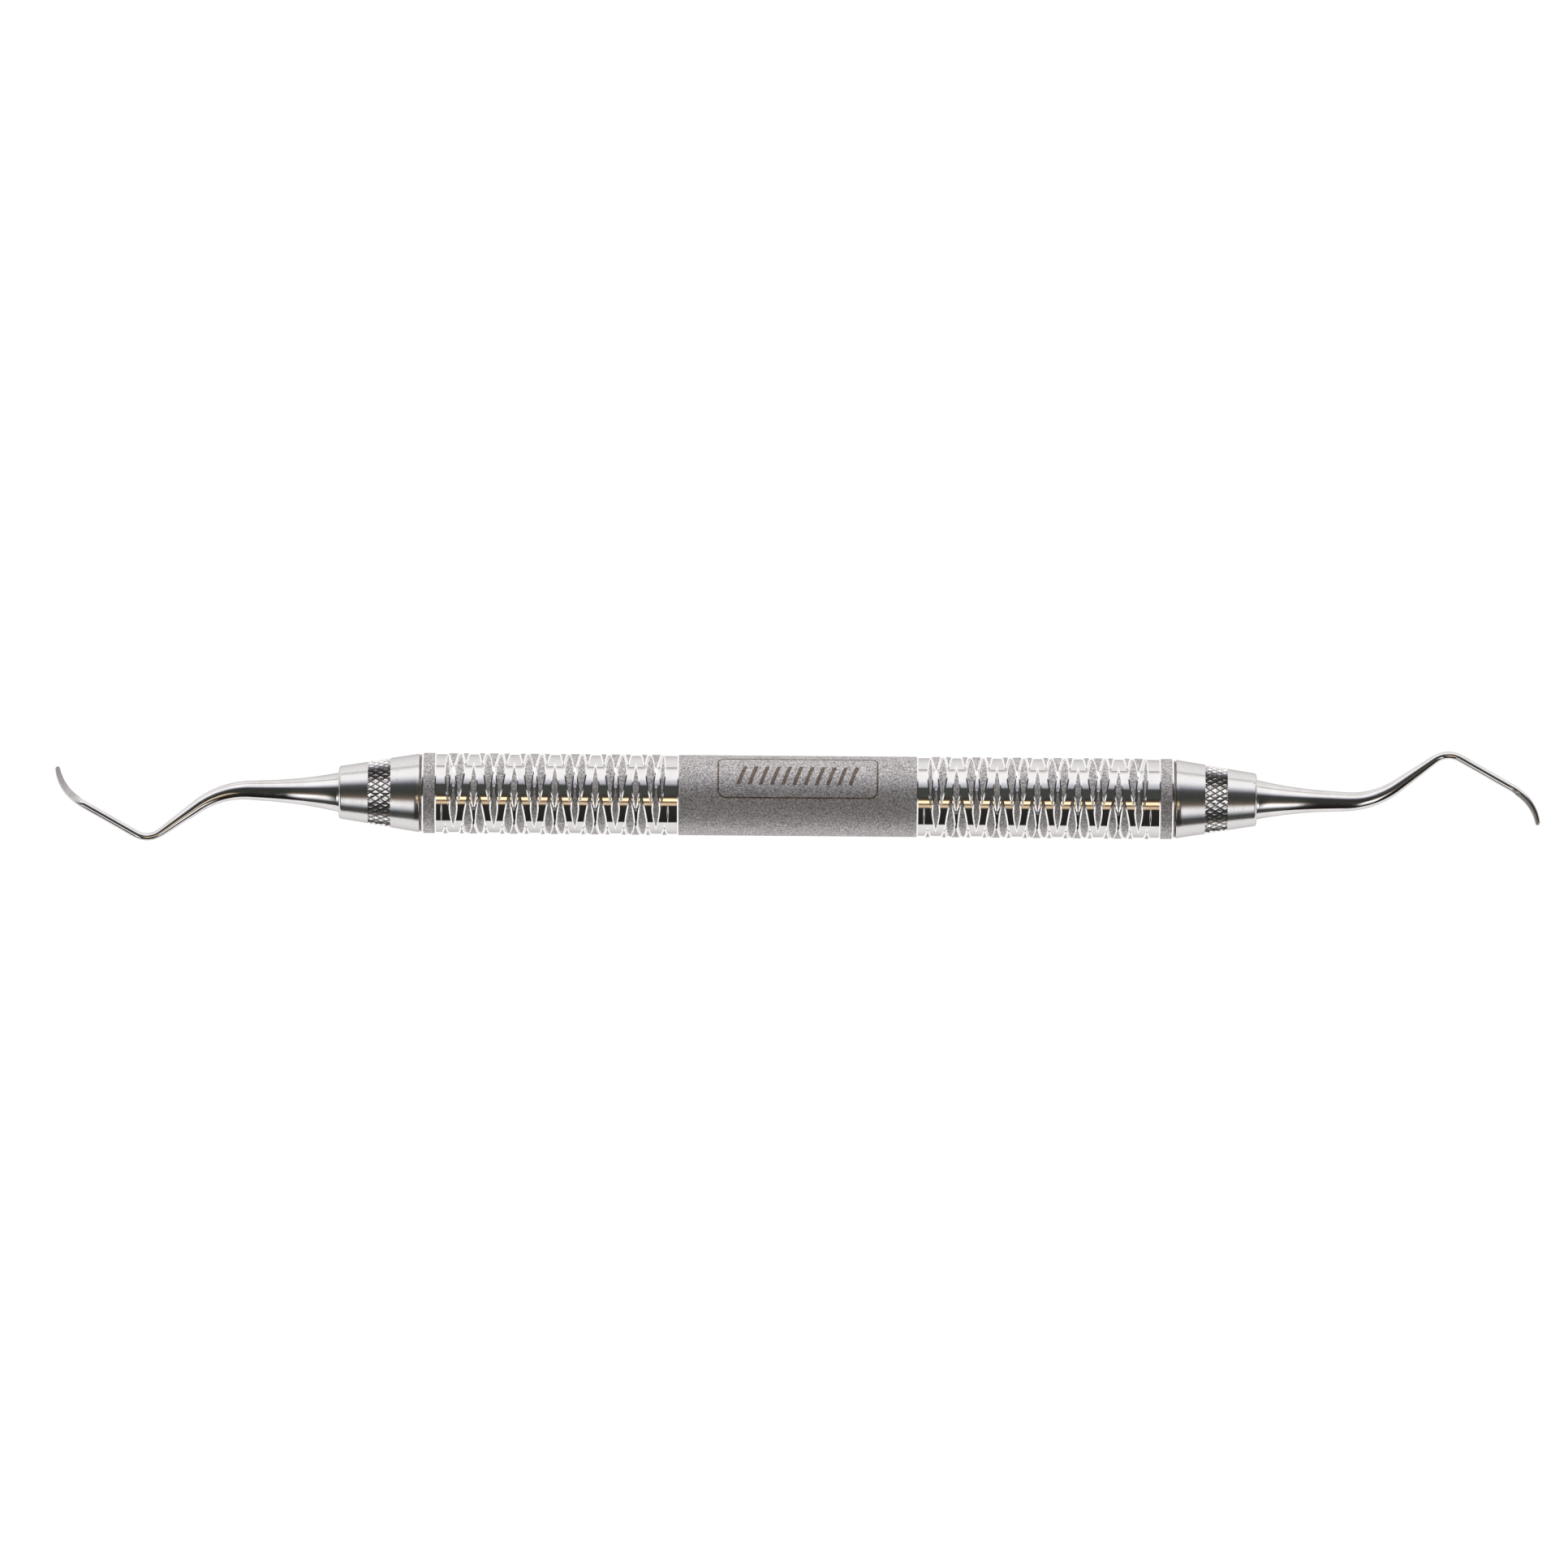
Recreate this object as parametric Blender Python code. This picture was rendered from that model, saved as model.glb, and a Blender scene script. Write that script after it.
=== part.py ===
"""Double-ended hand scaler with a hollow round handle and two screw-in working ends.

The handle lies along X, its axis AXIS_HEIGHT above the surface it rests on, and the origin is on that
surface under the middle of the handle. The left end is at -X and the right end at +X. Each end is the
other one turned inside out through the middle of the handle, apart from the threads, which are both
right-handed. Lengths below are millimetres.
"""

import math

import bmesh
import bpy
from mathutils import Matrix, Vector

MM = 0.001
FULL_TURN = 2 * math.pi
WELD_DISTANCE = 1e-5
CREASE_ANGLE = math.radians(30)

# Handle tube
HANDLE_DIAMETER = 9.5
TUBE_LENGTH = 88.8
TUBE_BORE_DIAMETER = 7.6
END_STEP_WIDTH = 0.25  # ground step at the very end, outside the end band
END_BAND_WIDTH = 1.35
CENTRE_BAND_WIDTH = 28.1
GRIP_RECESS = 0.13  # the ground grip zones and end steps lie this far below the blasted bands
MOUTH_CHAMFER = 0.15

# Sealing washer between the tube and the cone
WASHER_THICKNESS = 0.1
WASHER_DIAMETER = 9.1
SEAM_GAP = 0.05

# Cone
CONE_LENGTH = 9.55
CONE_BASE_DIAMETER = 9.3
CONE_NOSE_DIAMETER = 6.24
BASE_CHAMFER = 0.1
NOSE_ROUNDING = 0.35
NOSE_ARC_STEPS = 3
KNURL_START = 3.45  # from the cone's base
KNURL_WIDTH = 2.65
KNURL_HEIGHT = 0.06
SPIGOT_DIAMETER = 7.3
SPIGOT_LENGTH = 0.85
SOCKET_MOUTH_DIAMETER = 4.9
SOCKET_MOUTH_DEPTH = 1.2
SOCKET_DIAMETER = 3.2
SOCKET_DEPTH = 7.9
FIT_CLEARANCE = 0.1  # between the wall of a bore and what is fixed in it

# M5 x 0.8 thread, on the cone's stud and in the insert
THREAD_PITCH = 0.8
STUD_LENGTH = 5.55
STUD_CORE_RADIUS = 1.98
STUD_OVERLAP = 0.4  # how far the core runs into the spigot that it is one piece with
STUD_CHAMFER = 0.3
RIDGE_TURNS = 6
RIDGE_LEAD_IN = 0.45  # from the stud's end to the first turn
RIDGE_CREST_RADIUS = 2.43
RIDGE_ROOT_HALF_WIDTH = 0.29
RIDGE_CREST_HALF_WIDTH = 0.07
RIDGE_OVERLAP = 0.15  # how far the ridge's root runs into the core
GROOVE_BOTTOM_RADIUS = 2.6
GROOVE_MOUTH_HALF_WIDTH = 0.33
GROOVE_BOTTOM_HALF_WIDTH = 0.13
THREAD_BORE_RADIUS = 2.1
GROOVE_OVERLAP = 0.1  # how far the groove's cutter stands inside the bore

# Threaded insert fixed in each end of the tube
INSERT_LENGTH = 9.0
INSERT_SETBACK = 0.85  # of the insert's face inside the tube's end
INSERT_BORE_DEPTH = 6.6
INSERT_CHAMFER = 0.3

# Shank. Its centreline runs straight between corners (u, v), each rounded to a radius: u is the
# distance out of the cone's nose and v the sideways distance in the plane of the bends.
SHANK_CORNERS = [(0.0, 0.0), (13.9, -0.2), (22.46, 5.95), (30.58, 1.42)]
SHANK_BEND_RADII = [10.3, 2.8]
SHANK_BASE_DIAMETER = 3.39  # before the flare is added
SHANK_TAPER = 0.107  # diameter lost per millimetre of centreline
FLARE_DIAMETER = 1.3  # added at the cone's nose, fading out over FLARE_LENGTH
FLARE_LENGTH = 8.0
TERMINAL_DIAMETER = 0.9
TANG_LENGTH = 7.6
TANG_CHAMFER = 0.3

# Blade, an arc that carries on from the end of the shank
BLADE_RADIUS = 5.54
BLADE_SWEEP = math.radians(54)
BLADE_WIDTH = 0.95
BLADE_DEPTH = 0.6
BLADE_TAPER = 0.4  # share of its width and depth that the blade loses towards the toe
BLADE_FACE_HEIGHT = 0.42 * BLADE_DEPTH  # of the flat face over the centreline
BLADE_TILT = math.radians(55)  # of the flat face, away from the hollow side of the arc
HEEL_LENGTH = 1.1  # the round shank turns into the blade's half-round over this length
TOE_LENGTH = 0.3
TOE_STEPS = 5
TOE_ROUNDING = 0.95  # 1 would bring the toe to a point

# Facets
ROUND_SEGMENTS = 40
THREAD_SEGMENTS = 16
SHANK_SEGMENTS = 16
STRAIGHT_STEP = 1.5
BEND_STEP = math.radians(8)

# Positions along the handle, from its middle
TUBE_END = TUBE_LENGTH / 2
CONE_BASE = TUBE_END + WASHER_THICKNESS + 2 * SEAM_GAP
CONE_NOSE = CONE_BASE + CONE_LENGTH
STUD_ROOT = CONE_BASE - SPIGOT_LENGTH
STUD_END = STUD_ROOT - STUD_LENGTH
INSERT_FACE = TUBE_END - INSERT_SETBACK

AXIS_HEIGHT = HANDLE_DIAMETER / 2 * math.cos(math.pi / ROUND_SEGMENTS)
SIDES = {"left": -1, "right": 1}

# Colour, roughness and metallic of each finish
POLISHED_STEEL = ((0.78, 0.78, 0.77), 0.12, 1.0)
SATIN_STEEL = ((0.66, 0.66, 0.65), 0.32, 1.0)
BLASTED_STEEL = ((0.52, 0.51, 0.50), 0.55, 1.0)
AMBER_SEAL = ((0.45, 0.30, 0.15), 0.50, 0.0)


def clear_scene():
    for obj in list(bpy.data.objects):
        bpy.data.objects.remove(obj)


def finish_material(name, finish):
    colour, roughness, metallic = finish
    material = bpy.data.materials.new(name)
    material.use_nodes = True
    shader = material.node_tree.nodes["Principled BSDF"]
    shader.inputs["Base Color"].default_value = (*colour, 1.0)
    shader.inputs["Roughness"].default_value = roughness
    shader.inputs["Metallic"].default_value = metallic
    return material


def finished(name, bm, finish):
    """The object made from bm, whose points are millimetres from the middle of the handle's axis."""
    bmesh.ops.remove_doubles(bm, verts=bm.verts, dist=WELD_DISTANCE)
    bmesh.ops.recalc_face_normals(bm, faces=bm.faces)
    bmesh.ops.scale(bm, vec=(MM, MM, MM), verts=bm.verts)
    mesh = bpy.data.meshes.new(name)
    bm.to_mesh(mesh)
    bm.free()
    mesh.materials.append(finish_material(f"{name}_surface", finish))
    mesh.shade_smooth()
    mesh.set_sharp_from_angle(angle=CREASE_ANGLE)
    obj = bpy.data.objects.new(name, mesh)
    obj.location.z = AXIS_HEIGHT * MM
    bpy.context.scene.collection.objects.link(obj)
    return obj


def turned(name, profile, side, finish, segments=ROUND_SEGMENTS, ring=False):
    """A solid turned about X from a profile of (distance from the middle, radius), closed for a ring."""
    bm = bmesh.new()
    half_facet = Matrix.Rotation(math.pi / segments, 3, "X")
    points = [bm.verts.new(half_facet @ Vector((side * x, 0, radius))) for x, radius in profile]
    pairs = list(zip(points, points[1:]))
    if ring:
        pairs.append((points[-1], points[0]))
    edges = [bm.edges.new(pair) for pair in pairs]
    bmesh.ops.spin(
        bm,
        geom=points + edges,
        cent=(0, 0, 0),
        axis=(1, 0, 0),
        angle=FULL_TURN,
        steps=segments,
        use_merge=True,
    )
    return finished(name, bm, finish)


def lofted(name, rings, finish):
    """A solid skinned over rings of points, with a flat cap at each end."""
    bm = bmesh.new()
    loops = [[bm.verts.new(point) for point in ring] for ring in rings]
    count = len(loops[0])
    for near, far in zip(loops, loops[1:]):
        for i in range(count):
            j = (i + 1) % count
            bm.faces.new((near[i], near[j], far[j], far[i]))
    bm.faces.new(loops[0])
    bm.faces.new(reversed(loops[-1]))
    return finished(name, bm, finish)


def thread_coil(name, start, turns, section, finish):
    """A right-handed coil about X from x = start, swept from a section of (x, radius) points."""
    rings = []
    for step in range(round(turns * THREAD_SEGMENTS) + 1):
        share = step / THREAD_SEGMENTS
        turn = Matrix.Rotation(FULL_TURN * share, 3, "X")
        middle = start + THREAD_PITCH * share
        rings.append([turn @ Vector((middle + along, 0, radius)) for along, radius in section])
    return lofted(name, rings, finish)


def coil_section(inner, inner_half_width, outer, outer_half_width):
    return [
        (-inner_half_width, inner),
        (-outer_half_width, outer),
        (outer_half_width, outer),
        (inner_half_width, inner),
    ]


def ridge_start(side):
    """Where the stud's ridge begins, counted towards +X at both ends."""
    first = STUD_END + RIDGE_LEAD_IN
    last = first + RIDGE_TURNS * THREAD_PITCH
    return first if side > 0 else -last


def boolean(obj, operation, other):
    """Joins or cuts obj by other, which stays behind as a hidden guide."""
    other.hide_render = True
    other.display_type = "WIRE"
    modifier = obj.modifiers.new(f"{operation.lower()}_{other.name}", "BOOLEAN")
    modifier.operation = operation
    modifier.object = other
    modifier.solver = "EXACT"


def make_handle_tube():
    outer = HANDLE_DIAMETER / 2
    ground = outer - GRIP_RECESS
    bore = TUBE_BORE_DIAMETER / 2
    grip_start = CENTRE_BAND_WIDTH / 2
    band_end = TUBE_END - END_STEP_WIDTH
    grip_end = band_end - END_BAND_WIDTH
    half = [
        (grip_start, outer),
        (grip_start, ground),
        (grip_end, ground),
        (grip_end, outer),
        (band_end, outer),
        (band_end, ground),
        (TUBE_END, ground),
        (TUBE_END, bore + MOUTH_CHAMFER),
        (TUBE_END - MOUTH_CHAMFER, bore),
    ]
    other_half = [(-x, radius) for x, radius in reversed(half)]
    turned("handle_tube", half + other_half, 1, BLASTED_STEEL, ring=True)


def make_thread_insert(label, side):
    """The plug fixed in the tube's end, with the blind threaded hole that the stud screws into."""
    radius = TUBE_BORE_DIAMETER / 2 - FIT_CLEARANCE
    inner_end = INSERT_FACE - INSERT_LENGTH
    bore_end = INSERT_FACE - INSERT_BORE_DEPTH
    profile = [
        (inner_end, 0),
        (inner_end, radius - INSERT_CHAMFER),
        (inner_end + INSERT_CHAMFER, radius),
        (INSERT_FACE, radius),
        (INSERT_FACE, GROOVE_BOTTOM_RADIUS + FIT_CLEARANCE),
        (INSERT_FACE - INSERT_CHAMFER, THREAD_BORE_RADIUS),
        (bore_end, THREAD_BORE_RADIUS),
        (bore_end, 0),
    ]
    insert = turned(f"{label}_thread_insert", profile, side, SATIN_STEEL)
    # The cutter starts inside the open bore, its flanks carried on at the same slope
    slope = (GROOVE_MOUTH_HALF_WIDTH - GROOVE_BOTTOM_HALF_WIDTH) / (GROOVE_BOTTOM_RADIUS - THREAD_BORE_RADIUS)
    section = coil_section(
        THREAD_BORE_RADIUS - GROOVE_OVERLAP,
        GROOVE_MOUTH_HALF_WIDTH + slope * GROOVE_OVERLAP,
        GROOVE_BOTTOM_RADIUS,
        GROOVE_BOTTOM_HALF_WIDTH,
    )
    start = ridge_start(side) - THREAD_PITCH
    groove = thread_coil(f"{label}_groove_cutter", start, RIDGE_TURNS + 2, section, SATIN_STEEL)
    boolean(insert, "DIFFERENCE", groove)


def make_sealing_washer(label, side):
    near = TUBE_END + SEAM_GAP
    far = near + WASHER_THICKNESS
    inner = SPIGOT_DIAMETER / 2 + FIT_CLEARANCE
    outer = WASHER_DIAMETER / 2
    profile = [(near, inner), (near, outer), (far, outer), (far, inner)]
    turned(f"{label}_sealing_washer", profile, side, AMBER_SEAL, ring=True)


def cone_radius(distance):
    """Radius of the plain cone, distance from its base."""
    share = distance / CONE_LENGTH
    return (CONE_BASE_DIAMETER + (CONE_NOSE_DIAMETER - CONE_BASE_DIAMETER) * share) / 2


def cone_outline():
    """The cone's outside from the end of its spigot to the nose, as (distance from base, radius)."""
    knurl_end = KNURL_START + KNURL_WIDTH
    outline = [
        (-SPIGOT_LENGTH, 0),
        (-SPIGOT_LENGTH, SPIGOT_DIAMETER / 2),
        (0, SPIGOT_DIAMETER / 2),
        (0, CONE_BASE_DIAMETER / 2 - BASE_CHAMFER),
        (BASE_CHAMFER, cone_radius(BASE_CHAMFER)),
        (KNURL_START, cone_radius(KNURL_START)),
        (KNURL_START, cone_radius(KNURL_START) + KNURL_HEIGHT),
        (knurl_end, cone_radius(knurl_end) + KNURL_HEIGHT),
        (knurl_end, cone_radius(knurl_end)),
    ]
    rounding_start = CONE_LENGTH - NOSE_ROUNDING
    centre_radius = cone_radius(rounding_start) - NOSE_ROUNDING
    for step in range(NOSE_ARC_STEPS + 1):
        angle = math.pi / 2 * step / NOSE_ARC_STEPS
        along = rounding_start + NOSE_ROUNDING * math.sin(angle)
        outline.append((along, centre_radius + NOSE_ROUNDING * math.cos(angle)))
    return outline


def cone_socket():
    """The stepped blind hole in the nose that takes the foot of the shank and its tang."""
    mouth_floor = CONE_LENGTH - SOCKET_MOUTH_DEPTH
    socket_floor = CONE_LENGTH - SOCKET_DEPTH
    return [
        (CONE_LENGTH, SOCKET_MOUTH_DIAMETER / 2),
        (mouth_floor, SOCKET_MOUTH_DIAMETER / 2),
        (mouth_floor, SOCKET_DIAMETER / 2),
        (socket_floor, SOCKET_DIAMETER / 2),
        (socket_floor, 0),
    ]


def make_cone(label, side):
    profile = [(CONE_BASE + distance, radius) for distance, radius in cone_outline() + cone_socket()]
    cone = turned(f"{label}_cone", profile, side, SATIN_STEEL)

    core_profile = [
        (STUD_END, 0),
        (STUD_END, STUD_CORE_RADIUS - STUD_CHAMFER),
        (STUD_END + STUD_CHAMFER, STUD_CORE_RADIUS),
        (STUD_ROOT + STUD_OVERLAP, STUD_CORE_RADIUS),
        (STUD_ROOT + STUD_OVERLAP, 0),
    ]
    core = turned(f"{label}_stud_core", core_profile, side, SATIN_STEEL)
    boolean(cone, "UNION", core)

    # The ridge starts inside the core, its flanks carried on at the same slope
    slope = (RIDGE_ROOT_HALF_WIDTH - RIDGE_CREST_HALF_WIDTH) / (RIDGE_CREST_RADIUS - STUD_CORE_RADIUS)
    section = coil_section(
        STUD_CORE_RADIUS - RIDGE_OVERLAP,
        RIDGE_ROOT_HALF_WIDTH + slope * RIDGE_OVERLAP,
        RIDGE_CREST_RADIUS,
        RIDGE_CREST_HALF_WIDTH,
    )
    ridge = thread_coil(f"{label}_stud_ridge", ridge_start(side), RIDGE_TURNS, section, SATIN_STEEL)
    boolean(cone, "UNION", ridge)


def centreline_runs():
    """The working end's centreline from nose to toe: its first heading and its (length, turn) runs."""
    corners = [Vector(corner) for corner in SHANK_CORNERS]
    legs = [far - near for near, far in zip(corners, corners[1:])]
    headings = [math.atan2(leg.y, leg.x) for leg in legs]
    turns = [after - before for before, after in zip(headings, headings[1:])]
    setbacks = [radius * math.tan(abs(turn) / 2) for radius, turn in zip(SHANK_BEND_RADII, turns)]
    straights = []
    for leg, before, after in zip(legs, [0.0] + setbacks, setbacks + [0.0]):
        straights.append((leg.length - before - after, 0.0))
    bends = [(radius * abs(turn), turn) for radius, turn in zip(SHANK_BEND_RADII, turns)]
    blade = (BLADE_RADIUS * BLADE_SWEEP, -BLADE_SWEEP)
    return headings[0], [straights[0], bends[0], straights[1], bends[1], straights[2], blade]


def centreline_stations():
    """Stations (u, v, heading, distance travelled) along the centreline, closer together at the toe."""
    heading, runs = centreline_runs()
    u = v = travelled = 0.0
    stations = [(u, v, heading, travelled)]
    for index, (length, turn) in enumerate(runs):
        count = math.ceil(max(length / STRAIGHT_STEP, abs(turn) / BEND_STEP))
        shares = [1 / count] * count
        if index == len(runs) - 1:
            toe = TOE_LENGTH / length
            shares = [(1 - toe) / count] * count + [toe / TOE_STEPS] * TOE_STEPS
        for share in shares:
            half_turn = turn * share / 2
            chord = length * share * math.cos(half_turn)
            u += chord * math.cos(heading + half_turn)
            v += chord * math.sin(heading + half_turn)
            heading += 2 * half_turn
            travelled += length * share
            stations.append((u, v, heading, travelled))
    return stations


def shank_diameter(travelled):
    flare = FLARE_DIAMETER * max(0.0, 1 - travelled / FLARE_LENGTH) ** 2
    taper = SHANK_BASE_DIAMETER - SHANK_TAPER * travelled
    return max(taper, TERMINAL_DIAMETER) + flare


def section_angles():
    return [FULL_TURN * (i + 0.5) / SHANK_SEGMENTS for i in range(SHANK_SEGMENTS)]


def round_section(radius):
    """A round section, as (towards the face, along the face) points."""
    return [(radius * math.cos(angle), radius * math.sin(angle)) for angle in section_angles()]


def blade_section(shrink):
    """The blade's section: a flat face with a half-round back, shrunk towards the toe."""
    half_width = BLADE_WIDTH / 2
    points = []
    for angle in section_angles():
        back = min(0.0, math.cos(angle)) * BLADE_DEPTH
        points.append((BLADE_FACE_HEIGHT + shrink * back, shrink * half_width * math.sin(angle)))
    return points


def working_section(travelled, total):
    """The section at a distance along the centreline, from round shank to half-round blade."""
    blade_length = BLADE_RADIUS * BLADE_SWEEP
    along_blade = 1 - (total - travelled) / blade_length
    blade_share = min(max(along_blade * blade_length / HEEL_LENGTH + 0.5, 0.0), 1.0)
    toe_share = max(0.0, (travelled - total + TOE_LENGTH) / TOE_LENGTH)
    tapered = 1 - BLADE_TAPER * max(0.0, along_blade) ** 2
    shank = round_section(shank_diameter(travelled) / 2)
    blade = blade_section(tapered * math.sqrt(1 - TOE_ROUNDING * toe_share ** 2))
    return [Vector(a).lerp(Vector(b), blade_share) for a, b in zip(shank, blade)]


def section_ring(u, v, heading, section):
    """Places a section square across the centreline of the right-hand end."""
    hollow_side = Vector((math.sin(heading), -math.cos(heading), 0))
    upright = Vector((0, 0, 1))
    towards_face = hollow_side * math.cos(BLADE_TILT) - upright * math.sin(BLADE_TILT)
    along_face = hollow_side * math.sin(BLADE_TILT) + upright * math.cos(BLADE_TILT)
    centre = Vector((CONE_NOSE + u, v, 0))
    return [centre + towards_face * a + along_face * b for a, b in section]


def tang_rings():
    """The tang and the foot of the shank, which stand in the cone's socket."""
    tang_radius = SOCKET_DIAMETER / 2 - FIT_CLEARANCE
    foot_end = FIT_CLEARANCE - SOCKET_MOUTH_DEPTH
    stack = [
        (-TANG_LENGTH, tang_radius - TANG_CHAMFER),
        (TANG_CHAMFER - TANG_LENGTH, tang_radius),
        (foot_end, tang_radius),
        (foot_end, shank_diameter(0) / 2),
    ]
    return [section_ring(u, 0.0, 0.0, round_section(radius)) for u, radius in stack]


def make_working_tip(label, side):
    """The one-piece tang, shank and blade."""
    stations = centreline_stations()
    total = stations[-1][-1]
    rings = tang_rings()
    for u, v, heading, travelled in stations:
        rings.append(section_ring(u, v, heading, working_section(travelled, total)))
    lofted(f"{label}_working_tip", [[side * point for point in ring] for ring in rings], POLISHED_STEEL)


clear_scene()
make_handle_tube()
for end_label, end_side in SIDES.items():
    make_thread_insert(end_label, end_side)
    make_sealing_washer(end_label, end_side)
    make_cone(end_label, end_side)
    make_working_tip(end_label, end_side)
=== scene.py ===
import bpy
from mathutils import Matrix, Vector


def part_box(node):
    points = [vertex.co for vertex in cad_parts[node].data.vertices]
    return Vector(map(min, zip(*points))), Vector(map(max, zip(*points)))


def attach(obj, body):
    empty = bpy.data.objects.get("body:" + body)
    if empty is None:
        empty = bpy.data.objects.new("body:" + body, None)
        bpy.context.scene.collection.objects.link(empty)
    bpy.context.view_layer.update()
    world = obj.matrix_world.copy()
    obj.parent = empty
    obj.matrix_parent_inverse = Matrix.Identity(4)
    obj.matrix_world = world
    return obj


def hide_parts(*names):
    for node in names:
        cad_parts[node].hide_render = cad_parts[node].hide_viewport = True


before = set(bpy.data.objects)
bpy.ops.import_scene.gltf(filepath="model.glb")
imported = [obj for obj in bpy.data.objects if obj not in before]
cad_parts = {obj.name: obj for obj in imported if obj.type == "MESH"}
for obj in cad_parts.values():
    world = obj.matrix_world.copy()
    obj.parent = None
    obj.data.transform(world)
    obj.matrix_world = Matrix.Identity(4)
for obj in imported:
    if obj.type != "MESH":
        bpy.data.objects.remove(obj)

# Looks of the double-ended hand scaler. The visible pieces are built here in millimetres about the
# handle's axis, finer than the solids that they stand for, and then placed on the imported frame.

import copy
import math

import bmesh
import bpy
import numpy as np
from mathutils import Vector
from mathutils.geometry import delaunay_2d_cdt

MM = 0.001
FULL_TURN = 2 * math.pi
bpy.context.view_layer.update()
tube_low, tube_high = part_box("handle_tube")
_, cone_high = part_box("right_cone")

# Handle
AXIS_HEIGHT = (tube_low[2] + tube_high[2]) / 2
TUBE_END = tube_high[0] / MM
END_STEP_WIDTH = 0.25  # ground step outside the end band
END_BAND_EDGE = TUBE_END - END_STEP_WIDTH
HANDLE_RADIUS = (tube_high[2] - tube_low[2]) / 2 / MM
BORE_RADIUS = 3.8
END_BAND_WIDTH = 1.35
CENTRE_BAND_HALF = 14.05
LAND_HEIGHT = 0.13
LAND_SLOPE = 0.16  # how far a land's wall reaches sideways between top and floor
EDGE_CHAMFER = 0.05
MOUTH_CHAMFER = 0.15
AROUND = 72
GRID_STEP = 0.6
GRID_MARGIN = 0.07  # the grid's points keep this far from the walls
FLOOR_SHARE = 0.05  # faces below this share of a wall's width belong to the floor
TOP_SHARE = 0.85  # and above this one to the land's top
ENGRAVED_SHARE = 0.1  # faces above this share of an engraved line's slope belong to the line

# Leaf pattern of the grip zones, with angles in degrees round the handle from its top towards -Y.
# A leaf's angle is that of its middle, and its half angle is half its length.
COLUMN_PITCH = 4.78
COLUMNS = 6
FIRST_COLUMNS = (-40.6, 16.3)  # x of the first column of each grip zone
PATTERN_TURN = math.radians(5)  # of the whole pattern about the axis
LONE_LEAF = (-90, 45, 1.05)  # angle, half angle, width
LOW_LEAF = (90, 35, 0.64)
MIDDLE_ANGLE = 16.3
MIDDLE_HALF_ANGLE = 32.8
MIDDLE_WIDTH = 0.72
OUTER_ANGLE = -39
OUTER_HALF_ANGLE = 39
OUTER_WIDTH = 0.93
SLIM_OUTER_WIDTH = 0.45  # where a column ends the pattern
# For each side of a column: x of the outer leaves' tips beside the lone leaf, x of their other tips,
# their bow, and x of the low leaf
OUTER_LEAVES = [(-0.62, -0.62, -0.06, -0.93), (0.90, 0.64, 0.0, 1.0)]
SLIVER_OFFSET = 1.4  # of the single ridges outside the first and last column
SLIVER_ANGLE = 28
SLIVER_HALF_ANGLE = 19
SLIVER_WIDTH = 0.2
LEAF_STEPS = 20
LEAF_TAPER = 1.35  # power by which a leaf narrows towards its tips

# Engraved panel on the middle band, centred on the side towards +Y
PANEL_HALF_LENGTH = 9.4
PANEL_HALF_HEIGHT = 2.8
PANEL_CORNER = 0.9
PANEL_ANGLE = math.radians(-31)
ENGRAVED_LINE = 0.2
ENGRAVED_DEPTH = 0.03
ENGRAVED_SLOPE = 0.04
STROKES = 11
STROKE_PITCH = 1.32
STROKE_WIDTH = 0.46
STROKE_HALF_HEIGHT = 1.25
STROKE_SLANT = -0.35
CORNER_STEPS = 8
OUTLINE_STEP = 0.35

# Cone
CONE_LENGTH = 9.55
CONE_NOSE = cone_high[0] / MM
CONE_BASE = CONE_NOSE - CONE_LENGTH
CONE_BASE_RADIUS = 4.65
CONE_NOSE_RADIUS = 3.14
KNURL_START = 3.45
KNURL_WIDTH = 2.65
KNURL_CREST = 0.08
KNURL_GROOVE = -0.15
KNURL_PAINTED_SHADE_HEIGHT = -0.09  # the grooves get painted shade below this height
KNURL_STARTS = 34
KNURL_PITCH = 1.19
KNURL_CELLS = 8  # mesh cells per diamond, both ways
CONE_STEPS = 5  # rings on each plain stretch
CONE_STEP_DOWN = 0.05  # of the cone on the nose side of the knurl
NOSE_ROUNDING = 0.35
NOSE_STEPS = 8
SPIGOT_RADIUS = 3.65
SPIGOT_LENGTH = 0.85
SPIGOT_CHAMFER = 0.1
BASE_CHAMFER = 0.12
BASE_EDGE = 0.04  # of the chamfer's middle, which rounds it off
SOCKET_MOUTH_RADIUS = 2.45
SOCKET_MOUTH_DEPTH = 1.2
SOCKET_RADIUS = 1.6
SOCKET_DEPTH = 7.9

# Stud thread
THREAD_PITCH = 0.8
THREAD_AROUND = 48
STUD_LENGTH = 5.55
STUD_OVERLAP = 0.05  # how far the stud runs into the spigot
STUD_CORE = 1.98
STUD_CREST = 2.43
STUD_CHAMFER = 0.3
CHAMFER_SLOPE = 1.2
RIDGE_TURNS = 6
RIDGE_LEAD_IN = 0.45
RIDGE_FADE = 0.25  # the ridge rises from the core over this length at its ends
# one turn of thread as (share of the pitch, radius), from the middle of a ridge to the next
THREAD_PROFILE = [
    (0.0, STUD_CREST),
    (0.08, STUD_CREST),
    (0.36, STUD_CORE),
    (0.5, STUD_CORE),
    (0.64, STUD_CORE),
    (0.92, STUD_CREST),
]

# Sealing washer
WASHER_RADIUS = 4.55
WASHER_BORE_RADIUS = 3.75
WASHER_EDGE = 0.03
WASHER_AROUND = 96

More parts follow.
